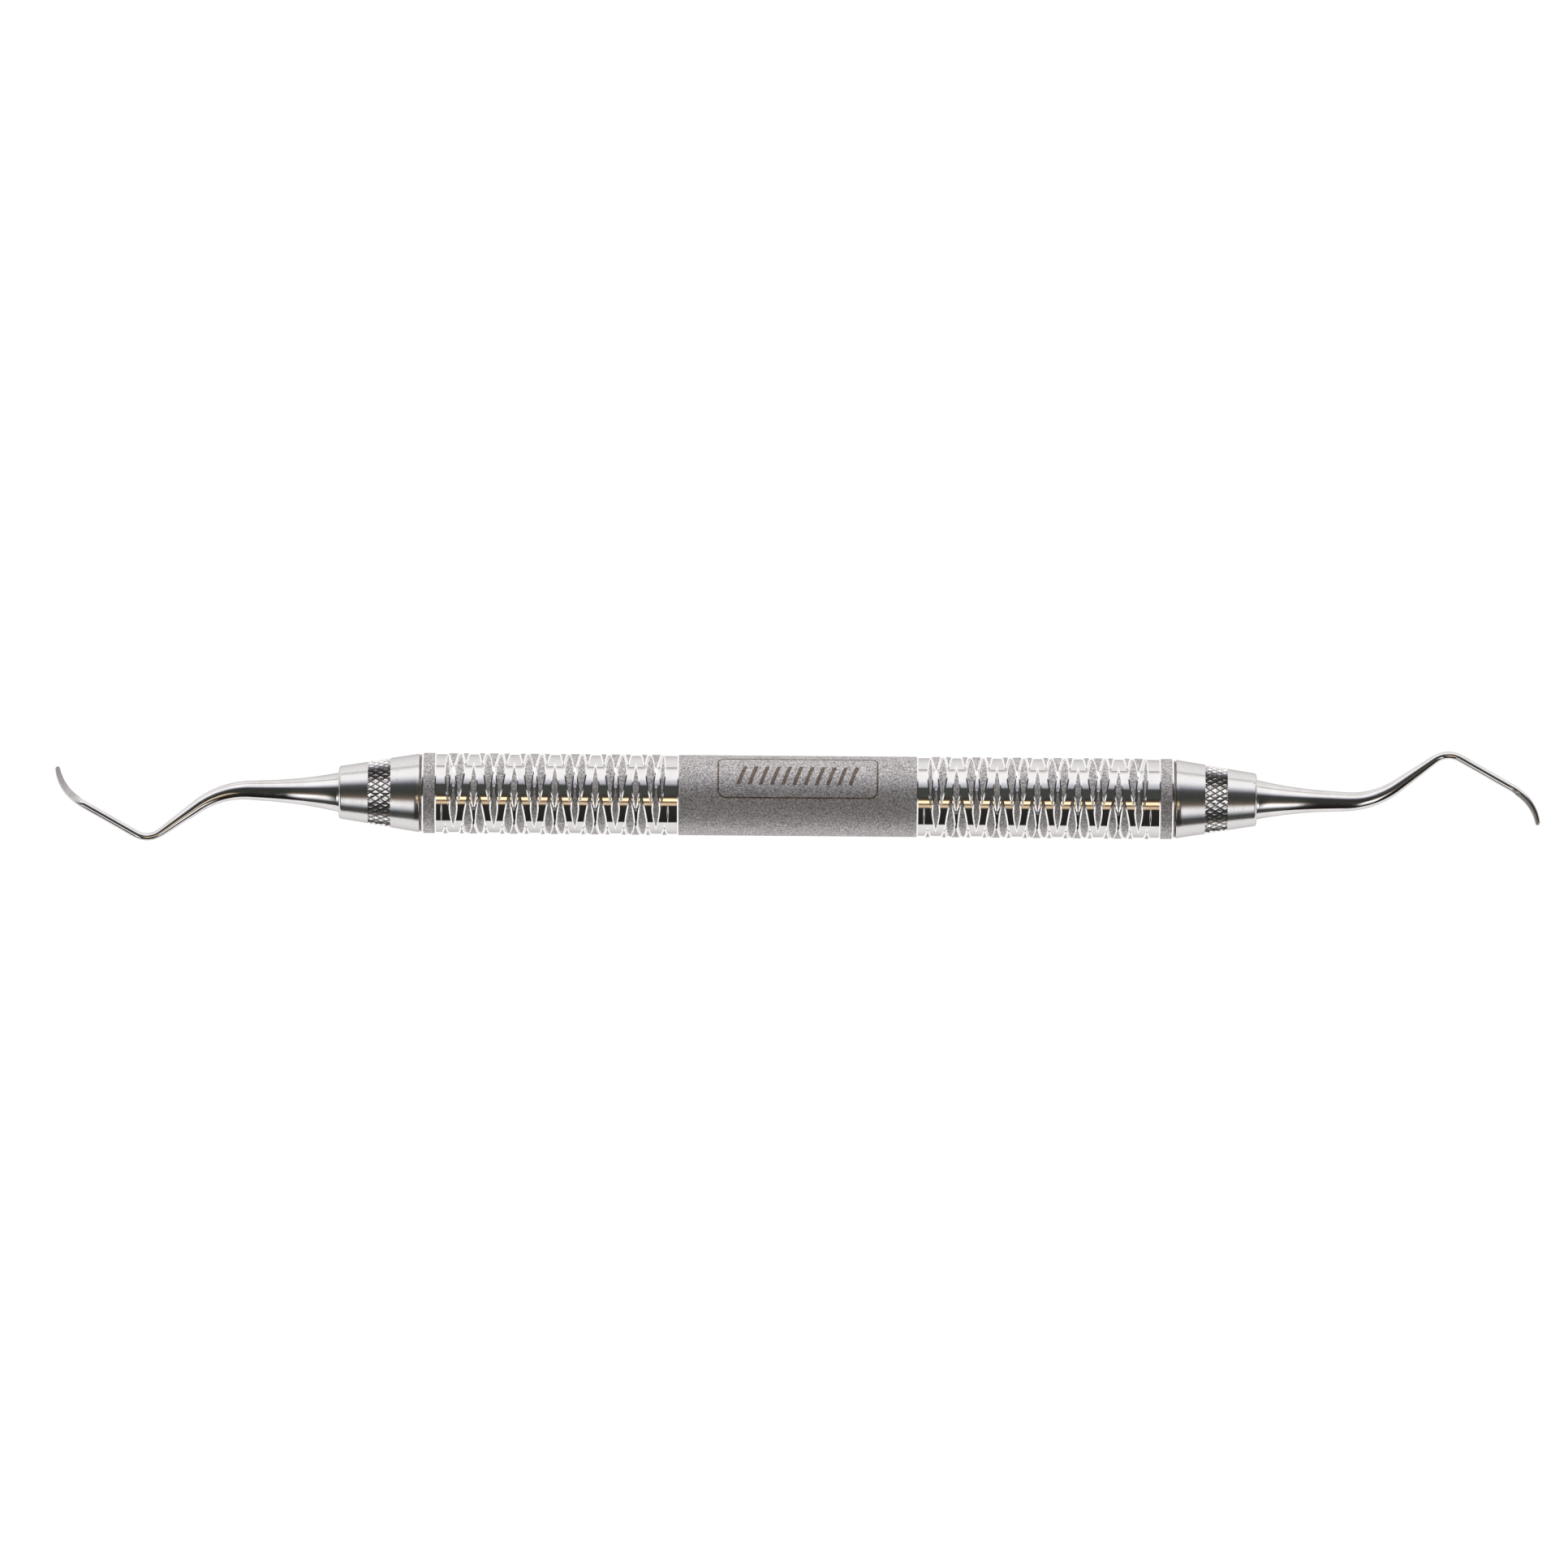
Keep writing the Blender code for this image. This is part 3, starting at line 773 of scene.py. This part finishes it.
def gathered_numbers(collection, field):
    """A whole number of every corner or face of a mesh, as an array."""
    values = np.empty(len(collection), dtype=int)
    collection.foreach_get(field, values)
    return values


def gathered_vectors(collection, field):
    """A vector of every vertex or face of a mesh, as the rows of an array."""
    values = np.empty(len(collection) * 3)
    collection.foreach_get(field, values)
    return values.reshape(-1, 3)


def handle_normals(mesh, kinds):
    """One normal per face corner: true round on floor and tops, blended along the walls."""
    coordinates = gathered_vectors(mesh.vertices, "co")
    face_normals = gathered_vectors(mesh.polygons, "normal")
    corner_vertex = gathered_numbers(mesh.loops, "vertex_index")
    corner_counts = gathered_numbers(mesh.polygons, "loop_total")
    corner_face = np.repeat(np.arange(len(mesh.polygons)), corner_counts)
    corner_kind = kinds[corner_face]

    normals = face_normals[corner_face].copy()
    is_round = (corner_kind == FLOOR) | (corner_kind == TOP)
    radial = coordinates[corner_vertex] * (0, 1, 1)
    normals[is_round] = radial[is_round]
    blended = np.zeros_like(coordinates)
    is_wall = corner_kind == WALL
    np.add.at(blended, corner_vertex[is_wall], normals[is_wall])
    normals[is_wall] = blended[corner_vertex[is_wall]]
    return normals / np.linalg.norm(normals, axis=1, keepdims=True)


def make_handle(materials):
    """The tube with its lands, blasted bands and engraved panel."""
    points, faces, kinds = handle_skin()
    material_of = [int(kind) for kind in kinds]
    mesh = mesh_from("handle_body", points, faces, materials, material_of=material_of)
    final_kinds = gathered_numbers(mesh.polygons, "material_index")
    mesh.normals_split_custom_set(handle_normals(mesh, final_kinds).tolist())
    add_piece("handle_body", mesh, "handle", "handle_tube")


# ---------------------------------------------------------------- cones

def cone_radius(distance):
    """Radius of the plain cone at a distance from its base."""
    share = distance / CONE_LENGTH
    return CONE_BASE_RADIUS + (CONE_NOSE_RADIUS - CONE_BASE_RADIUS) * share


def knurl_height(column, row):
    """Height of the diamond knurl: two crossed families of V grooves."""
    rising = ((column + row) % KNURL_CELLS) / KNURL_CELLS
    falling = ((column - row) % KNURL_CELLS) / KNURL_CELLS
    crest = min(1 - abs(2 * rising - 1), 1 - abs(2 * falling - 1))
    return KNURL_GROOVE + (KNURL_CREST - KNURL_GROOVE) * crest


def knurl_triangles(quad, column, row):
    """A quad of the knurl as two pairs of (triangle, mean height), split along its level line."""
    heights = [knurl_height(column + i, row + j) for i, j in ((0, 0), (1, 0), (1, 1), (0, 1))]
    level = abs(heights[0] - heights[2]) < abs(heights[1] - heights[3])
    splits = [(0, 1, 2), (0, 2, 3)] if level else [(0, 1, 3), (1, 2, 3)]
    return [(tuple(quad[i] for i in split), sum(heights[i] for i in split) / 3) for split in splits]


def cone_rings(around):
    """Rings of (distance from the base, radius or list of radii), from the spigot to the socket's floor."""
    rings = [
        (-SPIGOT_LENGTH, 0.0),
        (-SPIGOT_LENGTH, SPIGOT_RADIUS - SPIGOT_CHAMFER),
        (SPIGOT_CHAMFER - SPIGOT_LENGTH, SPIGOT_RADIUS),
        (0.0, SPIGOT_RADIUS),
        (0.0, CONE_BASE_RADIUS - BASE_CHAMFER),
        (BASE_EDGE, CONE_BASE_RADIUS - BASE_EDGE),
        (BASE_CHAMFER, cone_radius(BASE_CHAMFER)),
    ]
    for distance in spread(BASE_CHAMFER, KNURL_START, CONE_STEPS)[1:]:
        rings.append((distance, cone_radius(distance)))
    knurl_end = KNURL_START + KNURL_WIDTH
    rows = round(KNURL_WIDTH / KNURL_PITCH * KNURL_CELLS)
    for row, distance in enumerate(spread(KNURL_START, knurl_end, rows)):
        radii = [cone_radius(distance) + knurl_height(column, row) for column in range(around)]
        rings.append((distance, radii))
    end = CONE_LENGTH - NOSE_ROUNDING
    for distance in spread(knurl_end, end, CONE_STEPS):
        rings.append((distance, cone_radius(distance) - CONE_STEP_DOWN))
    centre_radius = cone_radius(end) - CONE_STEP_DOWN - NOSE_ROUNDING
    for angle in spread(0.0, math.pi / 2, NOSE_STEPS)[1:]:
        distance = end + NOSE_ROUNDING * math.sin(angle)
        rings.append((distance, centre_radius + NOSE_ROUNDING * math.cos(angle)))
    mouth_floor = CONE_LENGTH - SOCKET_MOUTH_DEPTH
    socket_floor = CONE_LENGTH - SOCKET_DEPTH
    rings += [
        (CONE_LENGTH, SOCKET_MOUTH_RADIUS),
        (mouth_floor, SOCKET_MOUTH_RADIUS),
        (mouth_floor, SOCKET_RADIUS),
        (socket_floor, SOCKET_RADIUS),
        (socket_floor, 0.0),
    ]
    return rings


def make_cone(label, side, materials):
    """The cone with its knurl, spigot and socket, and the threaded stud."""
    around = KNURL_STARTS * KNURL_CELLS
    rings = cone_rings(around)
    points = []
    for distance, radii in rings:
        x = CONE_BASE + distance
        for column, angle in enumerate(angles_round(around)):
            radius = radii[column] if isinstance(radii, list) else radii
            points.append(round_point(side * x, radius, side * angle))
    faces = []
    kinds = []
    knurl_rows = [index for index, (_, radii) in enumerate(rings) if isinstance(radii, list)]
    for number, face in enumerate(grid_faces(len(rings), around)):
        row, column = divmod(number, around)
        knurl_row = row - knurl_rows[0]
        if 0 <= knurl_row < len(knurl_rows) - 1:
            # knurl faces below the shade height get the dark copy (painted shade), the rest the near-white
            # copy (painted highlight)
            for triangle, height in knurl_triangles(face, column, knurl_row):
                faces.append(triangle)
                kinds.append(KNURL_VALLEY if height < KNURL_PAINTED_SHADE_HEIGHT else KNURL_FACE)
        else:
            faces.append(face)
            # the rings beside the knurl also get the near-white copy, painted highlight
            beside_knurl = row in (knurl_rows[0] - 1, knurl_rows[-1])
            kinds.append(KNURL_FACE if beside_knurl else SATIN)
    mesh = mesh_from(f"{label}_knurled_cone", points, faces, materials[:3], material_of=kinds, sharp=28)
    cone = add_piece(f"{label}_knurled_cone", mesh, f"{label}_end", f"{label}_cone")

    stud_mesh = thread_mesh(f"{label}_threaded_stud", side, materials[3])
    stud = bpy.data.objects.new(f"{label}_threaded_stud", stud_mesh)
    bpy.context.scene.collection.objects.link(stud)
    stud.parent = cone
    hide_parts(f"{label}_cone")


def thread_mesh(name, side, material):
    """The stud: rows follow the right-handed helix and are held between the stud's two ends."""
    stud_end = CONE_BASE - SPIGOT_LENGTH - STUD_LENGTH
    stud_root = CONE_BASE - SPIGOT_LENGTH + STUD_OVERLAP
    first, last = sorted((side * stud_end, side * stud_root))
    ridge_end = stud_end + RIDGE_LEAD_IN
    ridge_root = ridge_end + RIDGE_TURNS * THREAD_PITCH
    ridge_first, ridge_last = sorted((side * ridge_end, side * ridge_root))
    turns = math.ceil((last - first) / THREAD_PITCH) + 2
    rows = [(k + share, radius) for k in range(-1, turns) for share, radius in THREAD_PROFILE]
    points = []
    for number, radius in rows:
        for column in range(THREAD_AROUND + 1):
            share = column / THREAD_AROUND
            x = ridge_first + THREAD_PITCH * (number + share)
            fade = min(max(min(x - ridge_first, ridge_last - x) / RIDGE_FADE, 0.0), 1.0)
            end_distance = max(side * x - stud_end, 0.0)
            chamfered = STUD_CORE - STUD_CHAMFER + end_distance * CHAMFER_SLOPE
            radius_here = min(STUD_CORE + (radius - STUD_CORE) * fade, chamfered)
            points.append(round_point(min(max(x, first), last), radius_here, FULL_TURN * share))
    faces = grid_faces(len(rows), THREAD_AROUND + 1, closed=False)
    # the disc that closes the stud's end
    tip_x = side * stud_end
    hub = len(points)
    points.append((tip_x, 0, 0))
    rim = range(hub + 1, hub + 1 + THREAD_AROUND)
    radius = STUD_CORE - STUD_CHAMFER
    points += [round_point(tip_x, radius, angle) for angle in angles_round(THREAD_AROUND)]
    faces += [(hub, rim[i], rim[(i + 1) % THREAD_AROUND]) for i in range(THREAD_AROUND)]
    return mesh_from(name, points, faces, [material], weld=1e-3)


def make_washer(label, side, material):
    """The sealing washer, as thick as its CAD solid."""
    low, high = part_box(f"{label}_sealing_washer")
    near = min(abs(low[0]), abs(high[0])) / MM
    far = max(abs(low[0]), abs(high[0])) / MM
    corner = 0.3 * WASHER_EDGE  # how far the middle of a rounded edge lies inside the sharp corner
    profile = [
        (near, WASHER_BORE_RADIUS),
        (near, WASHER_RADIUS - WASHER_EDGE),
        (near + corner, WASHER_RADIUS - corner),
        (near + WASHER_EDGE, WASHER_RADIUS),
        (far - WASHER_EDGE, WASHER_RADIUS),
        (far - corner, WASHER_RADIUS - corner),
        (far, WASHER_RADIUS - WASHER_EDGE),
        (far, WASHER_BORE_RADIUS),
        (near, WASHER_BORE_RADIUS),
    ]
    points, faces = revolved(profile, WASHER_AROUND, side)
    mesh = mesh_from(f"{label}_seal", points, faces, [material])
    add_piece(f"{label}_seal", mesh, f"{label}_washer", f"{label}_sealing_washer")


# ---------------------------------------------------------------- working ends

def centreline_stations():
    """Stations (u, v, heading, distance travelled) along the shank and blade, u out of the nose."""
    corners = [Vector(corner) for corner in SHANK_CORNERS]
    legs = [far - near for near, far in zip(corners, corners[1:])]
    headings = [math.atan2(leg.y, leg.x) for leg in legs]
    turns = [after - before for before, after in zip(headings, headings[1:])]
    setbacks = [radius * math.tan(abs(turn) / 2) for radius, turn in zip(SHANK_BEND_RADII, turns)]
    straights = [
        (leg.length - before - after, 0.0)
        for leg, before, after in zip(legs, [0.0] + setbacks, setbacks + [0.0])
    ]
    bends = [(radius * abs(turn), turn) for radius, turn in zip(SHANK_BEND_RADII, turns)]
    blade = (BLADE_RADIUS * BLADE_SWEEP, -BLADE_SWEEP)
    runs = [straights[0], bends[0], straights[1], bends[1], straights[2], blade]

    heading = headings[0]
    u = v = travelled = 0.0
    stations = [(u, v, heading, travelled)]
    for index, (length, turn) in enumerate(runs):
        count = math.ceil(length / SHANK_STEP)
        shares = [1 / count] * count
        if index == len(runs) - 1:
            toe = TOE_LENGTH / length
            shares = [(1 - toe) / count] * count + [toe / TOE_STEPS] * TOE_STEPS
        for share in shares:
            half_turn = turn * share / 2
            u += length * share * math.cos(heading + half_turn)
            v += length * share * math.sin(heading + half_turn)
            heading += 2 * half_turn
            travelled += length * share
            stations.append((u, v, heading, travelled))
    return stations


def shank_radius(travelled):
    """Radius of the tapering shank, with its flare at the cone's nose."""
    flare = FLARE_DIAMETER * max(0.0, 1 - travelled / FLARE_LENGTH) ** 2
    return (max(SHANK_BASE_DIAMETER - SHANK_TAPER * travelled, TERMINAL_DIAMETER) + flare) / 2


def working_section(travelled, total):
    """The section as (towards the face, along the face) points: round shank, then half-round blade."""
    blade_length = BLADE_RADIUS * BLADE_SWEEP
    along_blade = 1 - (total - travelled) / blade_length
    blade_share = min(max(along_blade * blade_length / HEEL_LENGTH + 0.5, 0.0), 1.0)
    blade_share = blade_share * blade_share * (3 - 2 * blade_share)
    toe_share = max(0.0, (travelled - total + TOE_LENGTH) / TOE_LENGTH)
    tapered = 1 - BLADE_TAPER * max(0.0, along_blade) ** 2
    shrink = tapered * math.sqrt(max(0.0, 1 - TOE_ROUNDING * toe_share ** 2))
    radius = shank_radius(travelled)
    section = []
    for angle in angles_round(SHANK_AROUND):
        facing, across = math.cos(angle), math.sin(angle)
        blade_facing = BLADE_FACE_HEIGHT + shrink * BLADE_DEPTH * min(0.0, facing)
        blade_across = shrink * BLADE_WIDTH / 2 * across
        section.append((
            radius * facing + (blade_facing - radius * facing) * blade_share,
            radius * across + (blade_across - radius * across) * blade_share,
        ))
    return section, blade_share


def section_ring(u, v, heading, section, side):
    """A section's points at a station of the centreline, on the blade's tilted axes."""
    hollow_side = Vector((math.sin(heading), -math.cos(heading), 0))
    upright = Vector((0, 0, 1))
    towards_face = hollow_side * math.cos(BLADE_TILT) - upright * math.sin(BLADE_TILT)
    along_face = hollow_side * math.sin(BLADE_TILT) + upright * math.cos(BLADE_TILT)
    centre = Vector((CONE_NOSE + u, v, 0))
    return [side * (centre + towards_face * a + along_face * b) for a, b in section]


def make_tip(label, side, materials):
    """The one-piece tang, shank and blade, with the blade's face ground flat."""
    stations = centreline_stations()
    total = stations[-1][-1]
    foot_radius = shank_radius(0)
    tang_and_foot = [
        (-TANG_LENGTH, 0.0),
        (-TANG_LENGTH, TANG_RADIUS - TANG_CHAMFER),
        (TANG_CHAMFER - TANG_LENGTH, TANG_RADIUS),
        (-FOOT_DEPTH, TANG_RADIUS),
        (-FOOT_DEPTH, foot_radius - FOOT_CHAMFER),
        (FOOT_CHAMFER - FOOT_DEPTH, foot_radius),
    ]
    rings = []
    angles = angles_round(SHANK_AROUND)
    for u, radius in tang_and_foot:
        circle = [(radius * math.cos(angle), radius * math.sin(angle)) for angle in angles]
        rings.append((section_ring(u, 0.0, 0.0, circle, side), 0.0))
    for u, v, heading, travelled in stations:
        section, blade_share = working_section(travelled, total)
        rings.append((section_ring(u, v, heading, section, side), blade_share))
    points = [tuple(point) for ring, _ in rings for point in ring]
    faces = grid_faces(len(rings), SHANK_AROUND)
    quarter = SHANK_AROUND // 4
    kinds = []
    for _, blade_share in rings[1:]:
        for column in range(SHANK_AROUND):
            on_face = column < quarter or column >= 3 * quarter
            across = math.sin(FULL_TURN * (column + 0.5) / SHANK_AROUND)  # of the middle of the face
            on_edge = quarter <= column < quarter + HONED_FACETS
            if on_face and blade_share > FACE_START + FACE_SLANT * across:
                kinds.append(GROUND_FACE)
            else:
                kinds.append(HONED_EDGE if on_edge and blade_share > HONED_START else SHANK)
    last = (len(rings) - 1) * SHANK_AROUND
    faces.append(tuple(range(last, last + SHANK_AROUND)))
    kinds.append(SHANK)
    mesh = mesh_from(f"{label}_shank_and_blade", points, faces, materials, material_of=kinds, sharp=32)
    add_piece(f"{label}_shank_and_blade", mesh, f"{label}_end", f"{label}_working_tip")


# ---------------------------------------------------------------- floor, light and camera

def make_floor():
    """A plain white table, bright enough to be lost in the light."""
    bm = bmesh.new()
    bmesh.ops.create_circle(bm, cap_ends=True, segments=64, radius=TABLE_RADIUS)
    mesh = bpy.data.meshes.new("floor")
    bm.to_mesh(mesh)
    bm.free()
    floor = bpy.data.objects.new("floor", mesh)
    floor.location.z = -TABLE_DROP
    bpy.context.scene.collection.objects.link(floor)
    white = Surface("white_table", (0.1, 0.1, 0.1), 0.8, metallic=0.0)
    white.shader.inputs["Emission Color"].default_value = (1.0, 0.99, 0.985, 1.0)
    white.shader.inputs["Emission Strength"].default_value = 1.0
    mesh.materials.append(white.material)


# The studio as polished steel mirrors it: (degrees from overhead towards -Y, colour), a softbox on the
# +Y side and darkness on the -Y side. FRONT lies straight over the handle, with a gilt edge that only
# it mirrors, and SHADE to the left and right of that, where the shanks look. FLANK is a strip of light
# across the shade, where the cones look, and ENDS lies near the horizon.
SOFTBOX = [
    (-90, (0.36, 0.34, 0.33)),
    (-85, (0.72, 0.70, 0.69)),
    (-80, (1.15, 1.13, 1.12)),
    (-76, (1.27, 1.25, 1.25)),
    (-56, (1.27, 1.25, 1.27)),
]
FRONT = SOFTBOX + [
    (-48, (1.2, 1.2, 1.25)),
    (-40, (0.83, 0.83, 0.91)),
    (-32, (0.58, 0.59, 0.66)),
    (-26, (0.075, 0.08, 0.075)),
    (-2, (0.075, 0.08, 0.07)),
    (5, (0.05, 0.045, 0.038)),
    (10, (0.2, 0.1, 0.05)),
    (12, (1.8, 1.48, 0.95)),
    (18, (1.8, 1.5, 0.98)),
    (20, (0.22, 0.11, 0.06)),
    (23, (0.22, 0.12, 0.07)),
    (25, (0.95, 0.72, 0.48)),
    (30, (0.95, 0.72, 0.48)),
    (33, (0.035, 0.032, 0.03)),
    (88, (0.022, 0.022, 0.02)),
    (90, (0.3, 0.23, 0.17)),
]
SHADE = SOFTBOX + [
    (-48, (1.05, 1.05, 1.1)),
    (-40, (0.62, 0.6, 0.69)),
    (-33, (0.2, 0.2, 0.24)),
    (-27, (0.055, 0.055, 0.06)),
    (0, (0.045, 0.048, 0.042)),
    (60, (0.02, 0.016, 0.015)),
    (88, (0.012, 0.01, 0.009)),
    (90, (0.25, 0.2, 0.15)),
]
FLANK = SOFTBOX + [
    (-48, (1.05, 1.05, 1.1)),
    (-40, (0.6, 0.6, 0.67)),
    (-34, (0.3, 0.31, 0.36)),
    (-28, (0.07, 0.075, 0.075)),
    (-4, (0.055, 0.06, 0.055)),
    (10, (0.1, 0.09, 0.075)),
    (21, (0.27, 0.2, 0.15)),
    (27, (1.0, 0.93, 0.88)),
    (33, (1.5, 1.48, 1.49)),
    (44, (1.45, 1.43, 1.46)),
    (55, (0.65, 0.67, 0.72)),
    (64, (0.07, 0.075, 0.075)),
    (86, (0.07, 0.065, 0.06)),
    (90, (0.3, 0.27, 0.23)),
]
ENDS = [
    (-90, (0.04, 0.04, 0.04)),
    (16, (0.04, 0.04, 0.04)),
    (46, (1.1, 1.1, 1.1)),
    (90, (1.1, 1.1, 1.1)),
]
# the zones outside FRONT, each with the sideways part of the direction over which it begins
ZONES = [
    ((0.04, 0.09), SHADE),
    ((0.19, 0.25), FLANK),
    ((0.36, 0.41), SHADE),
    ((0.66, 0.76), ENDS),
]


def make_studio_light():
    """The room as an environment: zones of light and dark, blended along X, and white to the camera."""
    world = bpy.data.worlds.new("studio")
    bpy.context.scene.world = world
    world.use_nodes = True
    room = Graph(world.node_tree)
    room.nodes.clear()

    def bands(place, stops):
        ramp = room.nodes.new("ShaderNodeValToRGB")
        elements = ramp.color_ramp.elements
        while len(elements) < len(stops):
            elements.new(0.5)
        for element, (degrees, colour) in zip(elements, stops):
            element.position = degrees / 180 + 0.5
            element.color = (*colour, 1.0)
        room.put(place, ramp.inputs["Fac"])
        return ramp.outputs["Color"]

    split = room.nodes.new("ShaderNodeSeparateXYZ")
    room.put(room.nodes.new("ShaderNodeTexCoord").outputs["Generated"], split.inputs[0])
    x, y, z = split.outputs
    angle = room.calculate("ARCTAN2", room.calculate("MULTIPLY", y, -1.0), z)
    place = room.calculate("MULTIPLY_ADD", angle, 1 / math.pi, 0.5)
    sideways = room.calculate("ABSOLUTE", x)
    light = bands(place, FRONT)
    for (start, full), stops in ZONES:
        light = room.blend(room.remap(sideways, start, full), light, bands(place, stops))
    is_seen = room.nodes.new("ShaderNodeLightPath").outputs["Is Camera Ray"]
    background = room.nodes.new("ShaderNodeBackground")
    room.put(room.blend(is_seen, light, (1.0, 1.0, 1.0)), background.inputs["Color"])
    output = room.nodes.new("ShaderNodeOutputWorld")
    room.put(background.outputs[0], output.inputs["Surface"])


def make_camera():
    """Straight above, a little off the middle and turned by half a degree, through a long lens."""
    data = bpy.data.cameras.new("camera")
    data.sensor_width = 36.0
    data.lens = data.sensor_width * CAMERA_HEIGHT / FRAME_WIDTH
    camera = bpy.data.objects.new("camera", data)
    camera.location = (*CAMERA_PLACE, AXIS_HEIGHT + CAMERA_HEIGHT)
    camera.rotation_euler = (0, 0, CAMERA_TURN)
    data.clip_start = 0.01
    bpy.context.scene.collection.objects.link(camera)
    bpy.context.scene.camera = camera


# ---------------------------------------------------------------- the whole scene

handle_materials = [
    polished_steel(),
    blasted_steel(),
    wall_painted_highlight_steel(),
    engraved_steel(),
    turned_steel("tube_mouth_steel"),
]
cone_materials = [
    satin_steel(),
    # the knurl's faces get a near-white copy (painted highlight) and its grooves a dark copy (painted
    # shade)
    knurl_steel("knurl_steel", (0.80, 0.785, 0.775), (0.97, 0.965, 0.96), 0.15),
    knurl_steel("knurl_groove_painted_shade", (0.13, 0.12, 0.11), (0.34, 0.32, 0.31), 0.25),
    turned_steel("stud_steel"),
]
tip_materials = [
    mirror_steel(),
    ground_steel("ground_steel", (0.76, 0.74, 0.72), (0.90, 0.88, 0.86), (0.55, 0.53, 0.51)),
    # darker copy for the honed edge: painted shade
    ground_steel("honed_painted_shade_steel", (0.48, 0.47, 0.455), (0.72, 0.71, 0.70), (0.34, 0.33, 0.32)),
]
seal_material = amber_seal()
insert_material = turned_steel("insert_steel")
make_handle(handle_materials)
for end_label, end_side in SIDES.items():
    make_cone(end_label, end_side, cone_materials)
    make_washer(end_label, end_side, seal_material)
    make_tip(end_label, end_side, tip_materials)
    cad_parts[f"{end_label}_thread_insert"].material_slots[0].material = insert_material

make_floor()
make_studio_light()
make_camera()
bpy.context.scene.view_settings.view_transform = "Standard"
